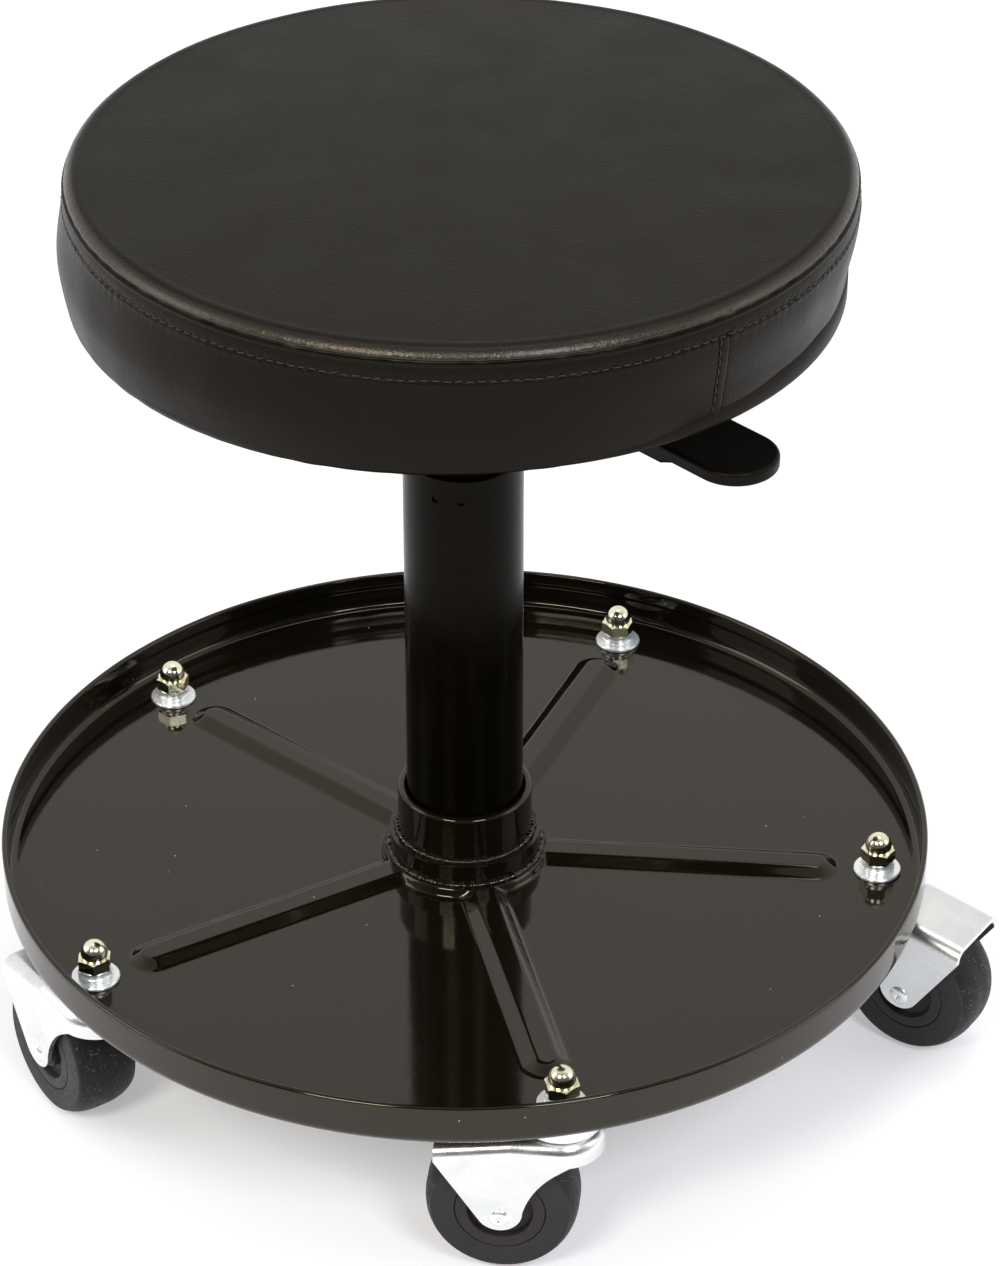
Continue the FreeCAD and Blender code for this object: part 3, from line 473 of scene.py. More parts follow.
def mesh_piece(name, points, faces, look_name, sharp_angle=None):
    """A smooth-shaded piece in its look, with edges sharper than an angle in degrees kept."""
    mesh = bpy.data.meshes.new(name)
    mesh.from_pydata([tuple(p) for p in points], [], [tuple(f) for f in faces])
    mesh.polygons.foreach_set("use_smooth", [True] * len(mesh.polygons))
    mesh.materials.append(looks[look_name])
    if sharp_angle is not None:
        mesh.set_sharp_from_angle(angle=math.radians(sharp_angle))
    mesh.validate()
    mesh.update()
    piece = bpy.data.objects.new(name, mesh)
    bpy.context.scene.collection.objects.link(piece)
    return piece


def grid_faces(rows, columns, closed_rows=False):
    """Quads of a grid whose columns close round the axis, and its rows too where asked."""
    row = np.arange(rows if closed_rows else rows - 1)[:, None]
    column = np.arange(columns)[None, :]
    after = (row + 1) % rows
    beside = (column + 1) % columns
    corners = (
        row * columns + column, row * columns + beside,
        after * columns + beside, after * columns + column,
    )
    return np.stack(corners, axis=-1).reshape(-1, 4)


def turned(radii, heights, angles):
    """Rows of points about the Z axis, in metres, from radii and heights in millimetres."""
    rr = radii * MM + 0 * angles
    zz = heights * MM + 0 * angles
    return np.stack([rr * np.cos(angles), rr * np.sin(angles), zz], axis=-1)


def full_turn(count):
    """Even angles round the axis."""
    return np.arange(count) * 2 * math.pi / count


def arc(first, middle, last, steps):
    """Even steps along the circle through three points, without the first point."""
    (ax, ay), (bx, by), (cx, cy) = first, middle, last
    d = 2 * (ax * (by - cy) + bx * (cy - ay) + cx * (ay - by))
    aa, bb, cc = ax * ax + ay * ay, bx * bx + by * by, cx * cx + cy * cy
    ox = (aa * (by - cy) + bb * (cy - ay) + cc * (ay - by)) / d
    oy = (aa * (cx - bx) + bb * (ax - cx) + cc * (bx - ax)) / d
    start = math.atan2(ay - oy, ax - ox)
    mid = math.atan2(by - oy, bx - ox)
    half = math.remainder(mid - start, 2 * math.pi)
    rest = math.remainder(math.atan2(cy - oy, cx - ox) - mid, 2 * math.pi)
    radius = math.hypot(ax - ox, ay - oy)
    turns = [start + (half + rest) * (i + 1) / steps for i in range(steps)]
    return [(ox + radius * math.cos(t), oy + radius * math.sin(t)) for t in turns]


def smooth_step(value):
    """From 0 to 1 as the value does, easing in and out."""
    value = np.clip(value, 0, 1)
    return value * value * (3 - 2 * value)


def bell(value, width):
    """1 where the value is 0, falling away on both sides."""
    return np.exp(-((value / width) ** 2))


def off_whole(value):
    """How far a value is from the nearest whole number."""
    return (value + 0.5) % 1.0 - 0.5


def waves(angle, counts, seed):
    """A repeatable wavy value round the axis, about 1 high, from waves of the given counts."""
    random = np.random.default_rng(seed)
    total = np.zeros_like(angle)
    for count in counts:
        total += random.normal() * np.cos(count * angle + random.uniform(0, 2 * math.pi))
    return total / math.sqrt(len(counts))


# Cushion


def cushion_path():
    """The outer half section, from the hem under the board up to the middle of the crown."""
    foot = FOOT_HEIGHT * (1 - math.sqrt(0.5))
    path = [(HEM_RADIUS, BASE_HEIGHT)]
    hem_run = FOOT_RADIUS - FOOT_HEIGHT - HEM_RADIUS
    path += [(HEM_RADIUS + hem_run * (i + 1) / HEM_STEPS, BASE_HEIGHT) for i in range(HEM_STEPS)]
    foot_middle = (FOOT_RADIUS - foot, BASE_HEIGHT + foot)
    path += arc(path[-1], foot_middle, (FOOT_RADIUS, BASE_HEIGHT + FOOT_HEIGHT), FOOT_STEPS)
    path += arc(path[-1], (BULGE_RADIUS, BULGE_HEIGHT), (SEAM_RADIUS, SEAM_HEIGHT), SIDE_STEPS)
    roll_top = (SEAM_RADIUS - ROLL_WIDTH, SEAM_HEIGHT + ROLL_RISE)
    chord = math.hypot(ROLL_WIDTH, ROLL_RISE)
    middle = (
        SEAM_RADIUS - ROLL_WIDTH / 2 + ROLL_BULGE * ROLL_RISE / chord,
        SEAM_HEIGHT + ROLL_RISE / 2 + ROLL_BULGE * ROLL_WIDTH / chord,
    )
    path += arc(path[-1], middle, roll_top, ROLL_STEPS)
    sphere = (roll_top[0] ** 2 + CROWN_RISE**2) / (2 * CROWN_RISE)
    for i in range(CROWN_STEPS):
        r = roll_top[0] + (CROWN_FLAT - roll_top[0]) * (i + 1) / CROWN_STEPS
        path.append((r, roll_top[1] + CROWN_RISE - (sphere - math.sqrt(sphere * sphere - r * r))))
    crown = path[-1][1]
    inward = [1 - (i + 1) / MIDDLE_STEPS for i in range(MIDDLE_STEPS - 1)]
    path += [(CROWN_FLAT * share, crown) for share in inward]
    return np.array(path)


path = cushion_path()
path_length = np.concatenate([[0], np.cumsum(np.hypot(*np.diff(path, axis=0).T))])
foot_length = path_length[HEM_STEPS + FOOT_STEPS]
seam_length = path_length[HEM_STEPS + FOOT_STEPS + SIDE_STEPS]


def on_path(lengths):
    """Radius, height and outward normal of the outline at the given lengths along it."""
    def at(places, axis):
        return np.interp(places, path_length, path[:, axis])

    # The slope is read over a short reach to both sides
    reach = 0.35
    r, z = at(lengths, 0), at(lengths, 1)
    dr = at(lengths + reach, 0) - at(lengths - reach, 0)
    dz = at(lengths + reach, 1) - at(lengths - reach, 1)
    size = np.hypot(dr, dz)
    return r, z, dz / size, -dr / size


def row_lengths():
    """Rows of the fine mesh: close together at the seams, further apart on the crown."""
    end = path_length[-1]
    at, pitch = np.array([
        (0.0, 1.6), (foot_length - 12.0, 1.2), (foot_length, 0.8),
        (seam_length - 12.0, 1.0), (seam_length - 9.5, 0.28), (seam_length - 6.0, 0.4),
        (seam_length - 2.6, 0.26), (seam_length + 1.5, 0.4), (seam_length + 6.0, 0.8),
        (seam_length + 16.0, 1.3), (end, 2.2),
    ]).T
    places = [0.0]
    while places[-1] < end:
        places.append(places[-1] + float(np.interp(places[-1], at, pitch)))
    places[-1] = end
    return np.array(places)


def column_angles():
    """Columns of the fine mesh: even, but close together at the band's own seam."""
    near = BAND_SEAM_ANGLE + np.arange(-7.0, 9.01, 0.3) / SEAM_RADIUS
    others = np.linspace(near[-1], near[0] + 2 * math.pi, EVEN_COLUMNS)[1:-1]
    return np.concatenate([near, others])


def cap_faces(start, columns, middle):
    """Triangles from a ring of points to the one in its middle."""
    return [(start + i, start + (i + 1) % columns, middle) for i in range(columns)]


def simulate_cover(lengths, angles):
    """Blows a slightly smaller cover up as cloth, held along its seams.

    Returns how far each point then stands out from the outline, in millimetres.
    """
    r, z, nr, nz = (values[:, None] for values in on_path(lengths))
    side = (lengths - foot_length) / (seam_length - STITCH_DROP - foot_length)
    shrink = 1.2 * np.sin(np.clip(side, 0, 1) * math.pi)
    shrink += 1.0 * smooth_step((lengths - seam_length - 4.0) / 30.0)
    lumps = waves(angles, (5, 9, 14, 23, 31), SEED + 1)[None, :] * 0.18 * (shrink[:, None] > 0)
    inward = shrink[:, None] + lumps
    start = turned(r - nr * inward, z - nz * inward, angles)
    rows, columns = inward.shape
    middle = np.array([[0, 0, start[-1, :, 2].mean()]])
    points = np.concatenate([start.reshape(-1, 3), middle])
    faces = [tuple(f) for f in grid_faces(rows, columns)]
    faces += cap_faces((rows - 1) * columns, columns, len(points) - 1)
    mesh = bpy.data.meshes.new("cloth_trial")
    mesh.from_pydata([tuple(p) for p in points], [], faces)
    trial = bpy.data.objects.new("cloth_trial", mesh)
    bpy.context.scene.collection.objects.link(trial)
    held = trial.vertex_groups.new(name="held")
    for row, length in enumerate(lengths):
        from_seams = min(abs(length - seam_length), abs(length - seam_length + STITCH_DROP))
        if length < foot_length - 6.0 or from_seams < CLOTH_HOLD:
            held.add([row * columns + i for i in range(columns)], 1.0, "REPLACE")
    modifier = trial.modifiers.new("cloth", "CLOTH")
    cloth = modifier.settings
    cloth.quality = 6
    cloth.mass = 0.25
    cloth.tension_stiffness = 22.0
    cloth.compression_stiffness = 22.0
    cloth.shear_stiffness = 9.0
    cloth.bending_stiffness = 2.0
    cloth.shrink_min = 0.003
    cloth.use_pressure = True
    cloth.uniform_pressure_force = 4.0
    cloth.effector_weights.gravity = 0.0
    cloth.vertex_group_mass = "held"
    modifier.point_cache.frame_start = 1
    modifier.point_cache.frame_end = CLOTH_FRAMES
    scene = bpy.context.scene
    for step in range(1, CLOTH_FRAMES + 1):
        scene.frame_set(step)
    result = trial.evaluated_get(bpy.context.evaluated_depsgraph_get())
    moved = np.empty(len(points) * 3)
    result.data.vertices.foreach_get("co", moved)
    moved = moved.reshape(-1, 3)[:-1].reshape(rows, columns, 3) - start
    scene.frame_set(1)
    bpy.data.objects.remove(trial)
    out = moved[..., 0] * np.cos(angles) * nr + moved[..., 1] * np.sin(angles) * nr
    out += moved[..., 2] * nz
    return out / MM - inward


def cover_relief(lengths, angles):
    """How far each row and column stands out from the outline, in millimetres."""
    row = lengths[:, None]
    column = angles[None, :]
    below = seam_length - row
    stitch = seam_length - STITCH_DROP - row
    above_foot = row - foot_length

    # The sewn crease under the roll, the lip below it and the topstitched row
    hole = bell(off_whole((column + math.pi) * STITCH_COUNT / (2 * math.pi)), 0.13)
    pull = 1 + 0.18 * waves(angles, (17, 41, 68, 97), SEED + 2)[None, :]
    relief = -1.15 * pull * bell(below, 0.52)
    relief += 0.45 * bell(below - 1.30, 0.42) * (1 - 0.35 * hole)
    relief += 0.12 * bell(below - 4.4, 1.9)
    relief -= (0.28 + 0.34 * hole) * pull * bell(stitch, 0.55)
    relief += 0.16 * bell(stitch - 1.5, 0.9) * (1 - 0.5 * hole)
    pucker = waves(angles, (61, 83, 117, 143, 178, 211), SEED + 3)[None, :]
    relief += 0.06 * pucker * bell(np.maximum(stitch, 0), 4.0) * (stitch > -2)
    relief += 0.04 * pucker * bell(np.maximum(-below, 0), 4.0) * (below < 0)

    # Slow unevenness of the side, its lean, and small pleats where it turns under
    drape = waves(angles, (7, 12, 19, 27, 38), SEED + 4)[None, :]
    side = np.sin(np.clip(above_foot / (seam_length - foot_length), 0, 1) * math.pi)
    relief += 0.12 * drape * side
    side_low = smooth_step(stitch / 26.0) * smooth_step((above_foot + 22.0) / 18.0)
    relief += LEAN * np.cos(column - LEAN_ANGLE) * side_low
    pleat = waves(angles, (29, 43, 52, 64, 75), SEED + 5)[None, :]
    relief += 0.07 * pleat * bell(above_foot + 10.0, 12.0)
    relief -= 0.22 * bell(row - 7.0, 2.5) * (1 + 0.4 * pleat)

    # The band's own upright seam: a stitched groove beside a doubled edge
    across = (np.mod(column - BAND_SEAM_ANGLE + math.pi, 2 * math.pi) - math.pi) * SEAM_RADIUS
    on_band = smooth_step(stitch) * smooth_step((above_foot + 16.0) / 8.0)
    prick = bell(off_whole(above_foot / BAND_STITCH_PITCH), 0.15)
    doubled = smooth_step((across + 0.4) / 0.8)
    doubled = doubled * smooth_step((BAND_OVERLAP + 0.35 - across) / 0.55)
    band = 0.42 * doubled - (0.42 + 0.40 * prick) * bell(across, 0.55)
    band -= 0.16 * bell(across - BAND_OVERLAP - 0.9, 0.6)
    band -= 0.10 * bell(across, 6.0)
    relief += on_band * band
    relief -= 0.7 * bell(across - 3.2, 1.3) * bell(stitch, 1.1)
    return relief


def cloth_relief(lengths, angles, radii):
    """The simulated cover's own unevenness on the fine mesh, in millimetres."""
    coarse_lengths = np.concatenate([
        np.linspace(0, foot_length - 6.0, 8),
        np.linspace(foot_length - 2.0, seam_length - STITCH_DROP - 3.0, 13),
        seam_length + np.array([-STITCH_DROP, -STITCH_DROP / 2, 0.0, 3.0]),
        np.linspace(seam_length + 7.0, path_length[-1] - 2.0, 24),
    ])
    coarse_angles = np.linspace(-math.pi, math.pi, CLOTH_COLUMNS + 1)[:-1]
    swell = simulate_cover(coarse_lengths, coarse_angles)
    swell = np.clip(swell - swell.mean(axis=1, keepdims=True), -CLOTH_CAP, CLOTH_CAP)
    for _ in range(CLOTH_SMOOTHING):
        swell = 0.5 * swell + 0.25 * (np.roll(swell, 1, axis=1) + np.roll(swell, -1, axis=1))
    closed_angles = np.concatenate([coarse_angles, [math.pi]])
    closed = np.concatenate([swell, swell[:, :1]], axis=1)
    turns = np.mod(angles + math.pi, 2 * math.pi) - math.pi
    by_column = np.array([np.interp(turns, closed_angles, row) for row in closed])
    fine = np.array([np.interp(lengths, coarse_lengths, column) for column in by_column.T]).T
    # The top is calmer than the side, and still in its middle
    share = (0.4 + 0.6 * (lengths < seam_length))[:, None]
    return fine * share * smooth_step((radii[:, None] - 20.0) / 110.0)


def board_side():
    """The cushion's inner outline, from the top of the board round its edge to the hem."""
    edge = BOARD_RADIUS + BOARD_GAP
    rest = BOARD_TOP + BOARD_GAP
    foot = FOOT_HEIGHT - COVER
    bend = foot * (1 - math.sqrt(0.5))
    under = BASE_HEIGHT + COVER
    line = [(edge * 0.5, rest), (edge, rest), (edge, BASE_HEIGHT + FOOT_HEIGHT)]
    line += arc(line[-1], (edge - bend, under + bend - BOARD_GAP), (edge - foot, under - 0.05), 6)
    line += [(HEM_RADIUS + 0.4, under - 0.05)]
    return np.array(line)


def build_cushion():
    """The cushion as one closed form; returns the outer side's rows and columns for the seams."""
    lengths = row_lengths()
    angles = column_angles()
    r, z, nr, nz = on_path(lengths)
    relief = cover_relief(lengths, angles)
    relief = relief + cloth_relief(lengths, angles, r)
    rr = r[:, None] + nr[:, None] * relief
    zz = z[:, None] + nz[:, None] * relief
    under_board = (lengths < foot_length - 12.0)[:, None]
    zz = np.where(under_board, np.maximum(zz, BASE_HEIGHT - 0.9), zz)
    inner_r, inner_z = (values[:, None] + 0 * angles for values in board_side().T)
    all_r = np.concatenate([inner_r, rr])
    all_z = np.concatenate([inner_z, zz])
    rows, columns = all_r.shape
    points = turned(all_r, all_z, angles).reshape(-1, 3)
    top = len(points)
    middles = [[0, 0, zz[-1].mean() * MM], [0, 0, inner_z[0, 0] * MM]]
    points = np.concatenate([points, middles])
    faces = [tuple(f) for f in grid_faces(rows, columns)]
    faces += cap_faces((rows - 1) * columns, columns, top)
    faces += [(b, a, middle) for a, b, middle in cap_faces(0, columns, top + 1)]
    piece = mesh_piece("seat_cushion", points, faces, "vinyl")
    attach(piece, "seat")
    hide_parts("vinyl_cover", "foam_pad")
    return lengths, angles, rr, zz


def surface_place(length, angle, lift, shape):
    """A point on the finished cushion, lifted off it by a distance in millimetres."""
    lengths, angles, rr, zz = shape
    turns = np.mod(angles + math.pi, 2 * math.pi)
    order = np.argsort(turns)
    place = np.searchsorted(turns[order], (angle + math.pi) % (2 * math.pi))
    column = order[min(place, len(order) - 1)]
    r = np.interp(length, lengths, rr[:, column])
    z = np.interp(length, lengths, zz[:, column])
    _, _, nr, nz = on_path(np.array([length]))
    r += nr[0] * lift
    z += nz[0] * lift
    return np.array([r * math.cos(angle), r * math.sin(angle), z]) * MM


def thread_run(points, radius, sides=6):
    """Points and faces of one stitch: a round thread, narrower where it dives at both ends."""
    points = np.array(points)
    count = len(points)
    share = np.linspace(0, 1, count)
    girth = radius * (0.45 + 0.55 * np.sin(np.clip(share, 0.04, 0.96) * math.pi) ** 0.4)
    run = np.gradient(points, axis=0)
    run /= np.linalg.norm(run, axis=1)[:, None]
    outward = points * np.array([1, 1, 0])
    outward /= np.linalg.norm(outward, axis=1)[:, None]
    across = np.cross(run, outward)
    across /= np.linalg.norm(across, axis=1)[:, None]
    out = np.cross(across, run)
    turns = full_turn(sides)[None, :, None]
    ring = across[:, None] * np.cos(turns) + out[:, None] * np.sin(turns)
    mesh_points = (points[:, None] + ring * girth[:, None, None]).reshape(-1, 3)
    faces = [tuple(f) for f in grid_faces(count, sides)]
    faces.append(tuple(range(sides))[::-1])
    faces.append(tuple((count - 1) * sides + i for i in range(sides)))
    return mesh_points, faces


def stitch_row(name, runs):
    """One piece from the centre lines of a row of stitches."""
    points = []
    faces = []
    base = 0
    for run in runs:
        run_points, run_faces = thread_run(run, THREAD_RADIUS * MM)
        points.append(run_points)
        faces += [tuple(i + base for i in f) for f in run_faces]
        base += len(run_points)
    piece = mesh_piece(name, np.concatenate(points), faces, "thread")
    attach(piece, "seat")


def build_stitches(shape):
    """The topstitched row round the band, and the row up the band's own seam."""
    last = len(STITCH_DIPS) - 1
    middle = last / 2
    pitch = 2 * math.pi / STITCH_COUNT
    runs = []
    for index in range(STITCH_COUNT):
        first = index * pitch - math.pi + STITCH_GAP * pitch
        length = seam_length - STITCH_DROP + rng.normal() * 0.10
        slant = rng.normal() * 0.10
        run = []
        for k, dip in enumerate(STITCH_DIPS):
            angle = first + pitch * STITCH_SHARE * k / last
            run.append(surface_place(length + slant * (k - middle) / middle, angle, dip, shape))
        runs.append(run)
    stitch_row("top_stitching", runs)
    runs = []
    count = int((seam_length - STITCH_DROP - foot_length) / BAND_STITCH_PITCH)
    for index in range(-2, count):
        low = foot_length + (index + STITCH_GAP) * BAND_STITCH_PITCH
        sway = rng.normal() * 0.0006
        run = []
        for k, dip in enumerate(STITCH_DIPS):
            length = low + BAND_STITCH_PITCH * STITCH_SHARE * k / last
            angle = BAND_SEAM_ANGLE + sway * (k - middle) / middle
            run.append(surface_place(length, angle, dip, shape))
        runs.append(run)
    stitch_row("band_stitching", runs)


cushion_shape = build_cushion()
build_stitches(cushion_shape)


# Tray


def swelling_heights():
    """Height of a rib's side against the distance beyond the edge of its flat top."""
    foot = RIB_BASE - RIB_TOP
    slope = math.atan2(RIB_HEIGHT, foot)
    crest_run = RIB_CREST_RADIUS * math.tan(slope / 2)
    foot_run = RIB_FOOT_RADIUS * math.tan(slope / 2)
    sine, cosine = math.sin(slope / 2), math.cos(slope / 2)
    line = [(-crest_run, RIB_HEIGHT)]
    line += arc(
        line[0],
        (RIB_CREST_RADIUS * sine - crest_run, RIB_HEIGHT - RIB_CREST_RADIUS * (1 - cosine)),
        (crest_run * math.cos(slope), RIB_HEIGHT - crest_run * math.sin(slope)),
        12,
    )
    foot_start = (foot - foot_run * math.cos(slope), foot_run * math.sin(slope))
    line.append(foot_start)
    line += arc(
        foot_start,
        (foot + foot_run - RIB_FOOT_RADIUS * sine, RIB_FOOT_RADIUS * (1 - cosine)),
        (foot + foot_run, 0.0),
        12,
    )
    return np.array(line).T


def tray_rise(r, angle):
    """Height of the pressed pad and ribs over the flat floor, in millimetres."""
    beyond, heights = swelling_heights()
    rise = RIB_HEIGHT * smooth_step((PAD_REACH - r + 0 * angle) / PAD_SLOPE)
    for index in range(CASTER_COUNT):
        turn = angle - math.radians(FIRST_STEM + index * 360 / CASTER_COUNT)
        along = r * np.cos(turn)
        across = r * np.sin(turn)
        distance = np.hypot(across, np.maximum(along - RIB_REACH, 0))
        rib = np.where(along > 0, np.interp(distance - RIB_TOP, beyond, heights), 0.0)
        # Where a rib meets the pad the press leaves a soft hollow, not a crease
        gap = np.abs(rise - rib)
        blend = np.maximum(RIB_BLEND - gap, 0) ** 2 / (4 * RIB_BLEND)
        both = np.minimum(rise, rib) > 0.02
        rise = np.minimum(np.maximum(rise, rib) + blend * both, RIB_HEIGHT)
    return rise


def tray_wall():
    """Outline of the rim: inner corner and wall, hem with its round top, outer wall and corner."""
    inner = TRAY_RADIUS - TRAY_SHEET
    hem_inner = TRAY_RADIUS - HEM_WIDTH
    shoulder = TRAY_TOP - HEM_WIDTH / 2
    fold = TRAY_TOP - HEM_HEIGHT
    centre = TRAY_RADIUS - TRAY_CORNER
    under = TRAY_FLOOR - TRAY_SHEET
    bend = TRAY_CORNER - TRAY_SHEET
    half = math.sqrt(0.5)
    wall = [(centre, TRAY_FLOOR)]
    corner = (centre + bend * half, TRAY_FLOOR + bend * (1 - half))
    wall += arc(wall[0], corner, (inner, TRAY_FLOOR + bend), 9)
    wall += [(inner, TRAY_FLOOR + bend + 2.5), (inner, fold - 2.6)]
    wall += arc(wall[-1], (inner - 0.28, fold - 1.15), (hem_inner + 0.30, fold - 0.35), 6)
    wall += arc(wall[-1], (hem_inner + 0.06, fold + 0.05), (hem_inner, fold + 0.6), 4)
    wall += [(hem_inner, fold + 2.2), (hem_inner, shoulder)]
    wall += arc(wall[-1], (TRAY_RADIUS - HEM_WIDTH / 2, TRAY_TOP), (TRAY_RADIUS, shoulder), 14)
    heights = (shoulder - 3, shoulder - 7, under + TRAY_CORNER + 2, under + TRAY_CORNER)
    wall += [(TRAY_RADIUS, height) for height in heights]
    corner = (centre + TRAY_CORNER * half, under + TRAY_CORNER * (1 - half))
    wall += arc(wall[-1], corner, (centre, under), 9)
    return np.array(wall)


def build_tray():
    """The pressed dish with its pad, ribs, corner and folded hem."""
    angles = full_turn(TRAY_COLUMNS)
    centre = TRAY_RADIUS - TRAY_CORNER
    under = TRAY_FLOOR - TRAY_SHEET
    floor_radii = np.concatenate([
        np.linspace(TRAY_BORE, PAD_REACH - 5, 5),
        np.linspace(PAD_REACH - 3.5, PAD_REACH + 0.5, 12),
        np.linspace(PAD_REACH + 2, RIB_REACH - 2, 52),
        np.linspace(RIB_REACH, RIB_REACH + 11, 20),
        np.linspace(RIB_REACH + 14, centre - 1, 9),
    ])[:, None]
    under_radii = np.concatenate([
        np.linspace(centre - 3, RIB_REACH + 12, 6),
        np.linspace(RIB_REACH + 9, RIB_REACH - 2, 8),
        np.linspace(RIB_REACH - 12, PAD_REACH + 2, 14),
        np.linspace(PAD_REACH + 0.5, PAD_REACH - 3.5, 7),
        [TRAY_BORE],
    ])[:, None]
    sag = 0.10 * waves(angles, (2, 3, 5, 7, 9), SEED + 8)[None, :]
    sag = sag * np.sin(np.clip((floor_radii - 50) / 140, 0, 1) * math.pi)
    floor_r = floor_radii + 0 * angles
    floor_z = TRAY_FLOOR + tray_rise(floor_r, angles[None, :]) + sag
    under_r = under_radii + 0 * angles
    under_z = under + tray_rise(under_r, angles[None, :])
    wall_r, wall_z = tray_wall().T[:, :, None]
    drift = 0.06 * waves(angles, (4, 7, 11, 16, 23), SEED + 9)
    wall_r = np.minimum(wall_r + drift * smooth_step((wall_z - under) / 10.0), TRAY_RADIUS)
    wall_z = wall_z + 0 * angles
    rr = np.concatenate([floor_r, wall_r, under_r])
    zz = np.concatenate([floor_z, wall_z, under_z])
    points = turned(rr, zz, angles).reshape(-1, 3)
    faces = grid_faces(len(rr), TRAY_COLUMNS, closed_rows=True)[:, ::-1]
    piece = mesh_piece("pressed_tray", points, faces, "gloss", sharp_angle=50)
    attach(piece, "base")
    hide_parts("tray")


build_tray()


# Wheels


def wheel_mesh(name, outline, look_name):
    """A closed turned form about its own Z from an outline of radius and height in millimetres."""
    rr, zz = np.array(outline).T[:, :, None]
    points = turned(rr, zz, full_turn(WHEEL_COLUMNS)).reshape(-1, 3)
    faces = grid_faces(len(outline), WHEEL_COLUMNS, closed_rows=True)
    return mesh_piece(name, points, faces, look_name, sharp_angle=WHEEL_SHARP_ANGLE)


def mirrored_outline(side):
    """A turned outline, from one of its sides and the same one on the other side."""
    return [(r, -z) for r, z in side] + [(r, z) for r, z in reversed(side)]


def tyre_outline():
    """A flat flank, a step at its shoulder and a crowned tread."""
    face = WHEEL_WIDTH / 2 - 0.6
    shoulder = WHEEL_RADIUS - 3.4
    side = [(CORE_RADIUS + 0.15, face - 2.0), (CORE_RADIUS + 0.15, face - 0.25)]
    side += arc(side[-1], (CORE_RADIUS + 0.25, face - 0.07), (CORE_RADIUS + 0.45, face), 3)
    side += [(shoulder - 3.0, face), (shoulder - 0.5, face)]
    side += arc(side[-1], (shoulder + 0.2, face - 0.2), (shoulder + 0.55, face - 0.75), 4)
    side += arc(side[-1], (shoulder + 1.9, face - 3.2), (WHEEL_RADIUS - 0.75, face - 5.6), 5)
    side += arc(side[-1], (WHEEL_RADIUS - 0.18, face - 8.6), (WHEEL_RADIUS - 0.05, 1.2), 8)
    return mirrored_outline(side)


def core_outline():
    """A boss round the axle, a hollow beside it and a ring that meets the tyre."""
    boss = WHEEL_WIDTH / 2
    face = boss - 0.65
    hollow = face - 3.2
    side = [(3.2, boss), (7.2, boss), (8.0, boss - 0.8), (8.2, hollow + 0.4), (8.6, hollow)]
    side += [(HOLLOW_RADIUS - 1.2, hollow), (HOLLOW_RADIUS - 0.6, hollow + 0.3)]
    side += [(HOLLOW_RADIUS - 0.1, face - 0.4)]
    side += arc(side[-1], (HOLLOW_RADIUS + 0.05, face - 0.1), (HOLLOW_RADIUS + 0.4, face), 3)
    side += [(CORE_RADIUS - 0.7, face)]
    side += arc(side[-1], (CORE_RADIUS - 0.35, face - 0.08), (CORE_RADIUS - 0.15, face - 0.35), 3)
    side += [(CORE_RADIUS - 0.15, face - 2.0)]
    return mirrored_outline(side)


def build_wheels():
    """A tyre and a core on each axle; quarter turns keep the piece's box square with the axes."""
    parts = (("tyre", tyre_outline(), "wheel_rubber"), ("core", core_outline(), "wheel_plastic"))
    for index, heading in enumerate(CASTER_HEADINGS, start=1):
        low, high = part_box(f"wheel_tyre_{index}")
        middle = (Vector(low) + Vector(high)) / 2
        turn = Matrix.Rotation(math.radians(heading), 4, "Z")
        tip = Matrix.Rotation(math.radians(-90), 4, "X")
        spin = Matrix.Rotation(math.radians(90 * (index % 4)), 4, "Z")
        for part, outline, slot_name in parts:
            piece = wheel_mesh(f"moulded_{part}_{index}", outline, part)
            piece.matrix_world = Matrix.Translation(middle) @ turn @ tip @ spin
            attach(piece, f"wheel_{index}")
            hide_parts(f"wheel_{part}_{index}")


build_wheels()


# Weld beads


def bead_ring(name, radius, height, leg, side, pitch, seed):
    """A hand-laid fillet weld: overlapping scales, uneven in width and height.

    It stands on the outside of a wall of the given radius and, by its side, above or
    below a flat at the given height, and runs a little into both.
    """
    wall_depth = 0.35
    flat_depth = 0.15
    angles = full_turn(BEAD_COLUMNS)
    scales = round(2 * math.pi * radius / pitch)
    drift = waves(angles, (3, 5, 8, 13), seed) * 0.35
    ripple = np.cos(angles * scales + 2 * math.pi * drift)
    scale_rise = 0.5 + 0.5 * ripple * smooth_step(0.6 + waves(angles, (2, 5, 9), seed + 2))
    lumps = waves(angles, (11, 17, 29, 47, 71), seed + 1)
    swell = 1 + 0.13 * lumps + 0.035 * (scale_rise - 0.4)
    turns = np.linspace(0, math.pi / 2, BEAD_ROWS)[:, None]
    reach = leg * swell * (0.80 + 0.20 * np.sin(2 * turns))
    rr = radius - wall_depth + (reach + wall_depth) * np.cos(turns)
    zz = height + side * (-flat_depth + (reach + flat_depth) * np.sin(turns))
    rr = np.concatenate([rr, [radius - wall_depth + 0 * angles]])
    zz = np.concatenate([zz, [height - side * flat_depth + 0 * angles]])
    points = turned(rr, zz, angles).reshape(-1, 3)
    faces = grid_faces(BEAD_ROWS + 1, BEAD_COLUMNS, closed_rows=True)
    if side < 0:
        faces = faces[:, ::-1]
    piece = mesh_piece(name, points, faces, "gloss")
    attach(piece, "base")
    return piece


ring_bead = bead_ring("ring_weld", 32.8, 81.8, 2.3, 1, 1.9, 21)
bead_ring("collar_weld", 29.0, 91.5, 2.0, 1, 1.7, 31)
bead_ring("under_weld", 25.0, 80.5, 2.5, -1, 2.0, 41)
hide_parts("weld_beads")


# Studio


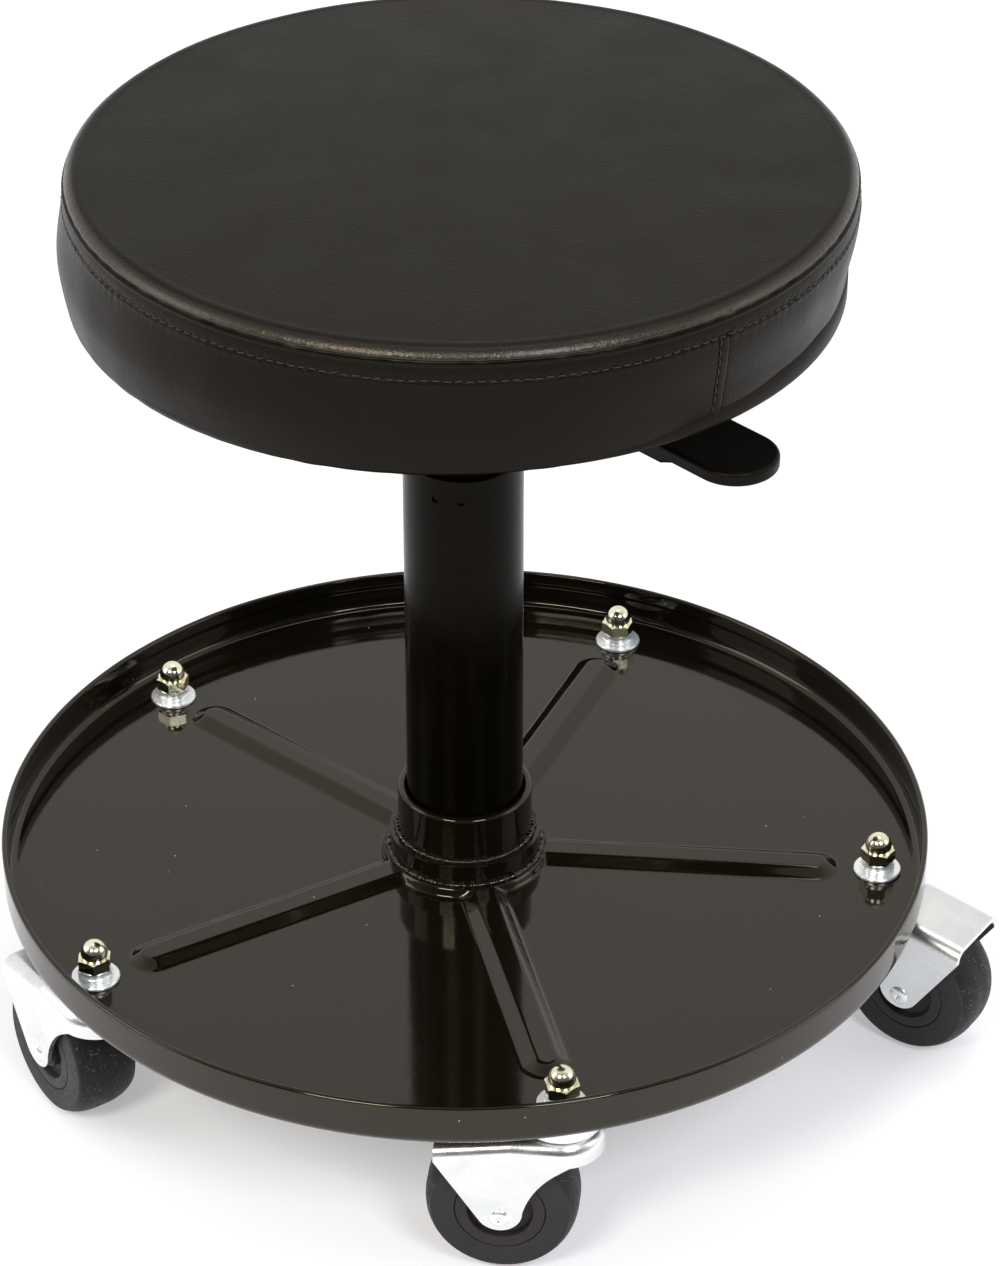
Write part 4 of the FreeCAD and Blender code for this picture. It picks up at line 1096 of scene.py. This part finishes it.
def plain_floor():
    """A pale floor that also glows a little, more so far out, in what is seen or mirrored."""
    bpy.ops.mesh.primitive_grid_add(x_subdivisions=2, y_subdivisions=2, size=24.0)
    floor = bpy.context.object
    floor.name = "studio_floor"
    material = bpy.data.materials.new("studio_floor")
    tree, output = empty_tree(material, "ShaderNodeOutputMaterial")
    rays = tree.nodes.new("ShaderNodeLightPath").outputs
    seen = maths_node(tree, "MAXIMUM", rays["Is Camera Ray"], rays["Is Glossy Ray"])
    seen = maths_node(tree, "MAXIMUM", seen, rays["Is Transmission Ray"])
    place = tree.nodes.new("ShaderNodeTexCoord")
    distance = new_node(tree, "ShaderNodeVectorMath", operation="LENGTH")
    tree.links.new(place.outputs["Object"], distance.inputs[0])
    fade = range_node(tree, distance.outputs["Value"], 0.9, 2.4, 0.35, 0.80)
    diffuse = new_node(tree, "ShaderNodeBsdfDiffuse", {"Color": (0.70, 0.695, 0.725, 1.0)})
    glow = new_node(tree, "ShaderNodeEmission", {"Color": (1.0, 0.995, 0.99, 1.0)})
    tree.links.new(maths_node(tree, "MULTIPLY", seen, fade), glow.inputs["Strength"])
    total = tree.nodes.new("ShaderNodeAddShader")
    tree.links.new(diffuse.outputs["BSDF"], total.inputs[0])
    tree.links.new(glow.outputs["Emission"], total.inputs[1])
    tree.links.new(total.outputs["Shader"], output.inputs["Surface"])
    floor.data.materials.append(material)


def studio_world():
    """White behind and above, darker on the near side; plain white where the camera sees it."""
    world = bpy.data.worlds.new("studio")
    bpy.context.scene.world = world
    tree, output = empty_tree(world, "ShaderNodeOutputWorld")
    split = tree.nodes.new("ShaderNodeSeparateXYZ")
    coordinates = tree.nodes.new("ShaderNodeTexCoord")
    tree.links.new(coordinates.outputs["Generated"], split.inputs["Vector"])
    back = range_node(tree, split.outputs["Y"], -0.75, 0.25, 0.10, 0.95, "SMOOTHSTEP")
    above = range_node(tree, split.outputs["Z"], 0.35, 0.85, 0.0, 0.30, "SMOOTHSTEP")
    light = new_node(tree, "ShaderNodeBackground", {"Color": (1.0, 0.99, 0.975, 1.0)})
    tree.links.new(maths_node(tree, "MAXIMUM", back, above), light.inputs["Strength"])
    plain = new_node(
        tree, "ShaderNodeBackground", {"Color": (1.0, 1.0, 1.0, 1.0), "Strength": 1.0}
    )
    rays = tree.nodes.new("ShaderNodeLightPath")
    mix = tree.nodes.new("ShaderNodeMixShader")
    tree.links.new(rays.outputs["Is Camera Ray"], mix.inputs["Fac"])
    tree.links.new(light.outputs["Background"], mix.inputs[1])
    tree.links.new(plain.outputs["Background"], mix.inputs[2])
    tree.links.new(mix.outputs["Shader"], output.inputs["Surface"])


def soft_box(name, place, target, width, height, power, tint=(1.0, 1.0, 1.0), mirrored=True):
    """A rectangular lamp that faces its target; mirrored says whether gloss shows it."""
    data = bpy.data.lights.new(name, "AREA")
    data.shape = "RECTANGLE"
    data.size = width
    data.size_y = height
    data.energy = power
    data.color = tint
    lamp = bpy.data.objects.new(name, data)
    lamp.location = place
    lamp.rotation_euler = (Vector(target) - Vector(place)).to_track_quat("-Z", "Y").to_euler()
    lamp.visible_glossy = mirrored
    bpy.context.scene.collection.objects.link(lamp)


plain_floor()
studio_world()
soft_box("left_window", (-0.98, -1.76, 1.98), (0, 0, 0.2), 0.75, 0.62, 32.0, (1.0, 0.95, 0.84))
soft_box("right_window", (0.90, -1.80, 1.98), (0, 0, 0.2), 0.75, 0.62, 30.0, (0.86, 0.91, 1.0))
soft_box("top_box", (0.1, 0.45, 2.3), (0, 0, 0.1), 0.9, 0.6, 6.0)
soft_box("left_box", (-1.9, -0.2, 1.1), (0, 0, 0.15), 0.9, 1.1, 8.0)
soft_box("right_box", (1.9, -0.3, 1.0), (0, 0, 0.2), 0.9, 0.9, 5.0, (0.98, 0.985, 1.0))
soft_box("front_fill", (0.0, -2.3, 1.1), (0, 0, 0.0), 2.6, 1.2, 8.0, mirrored=False)


# Camera: fitted to the tray's rims, the nuts, the column and the seat's outline

camera_data = bpy.data.cameras.new("camera")
camera_data.lens = 119.03
camera_data.sensor_width = 36.0
camera_data.sensor_fit = "AUTO"
camera_data.clip_start = 0.05
camera_data.clip_end = 60.0
camera = bpy.data.objects.new("camera", camera_data)
camera.location = (0.0130, -1.4781, 1.1522)
camera.rotation_euler = (math.radians(56.94), 0.0, math.radians(-0.0822))
bpy.context.scene.collection.objects.link(camera)
bpy.context.scene.camera = camera
bpy.context.scene.view_settings.view_transform = "Standard"
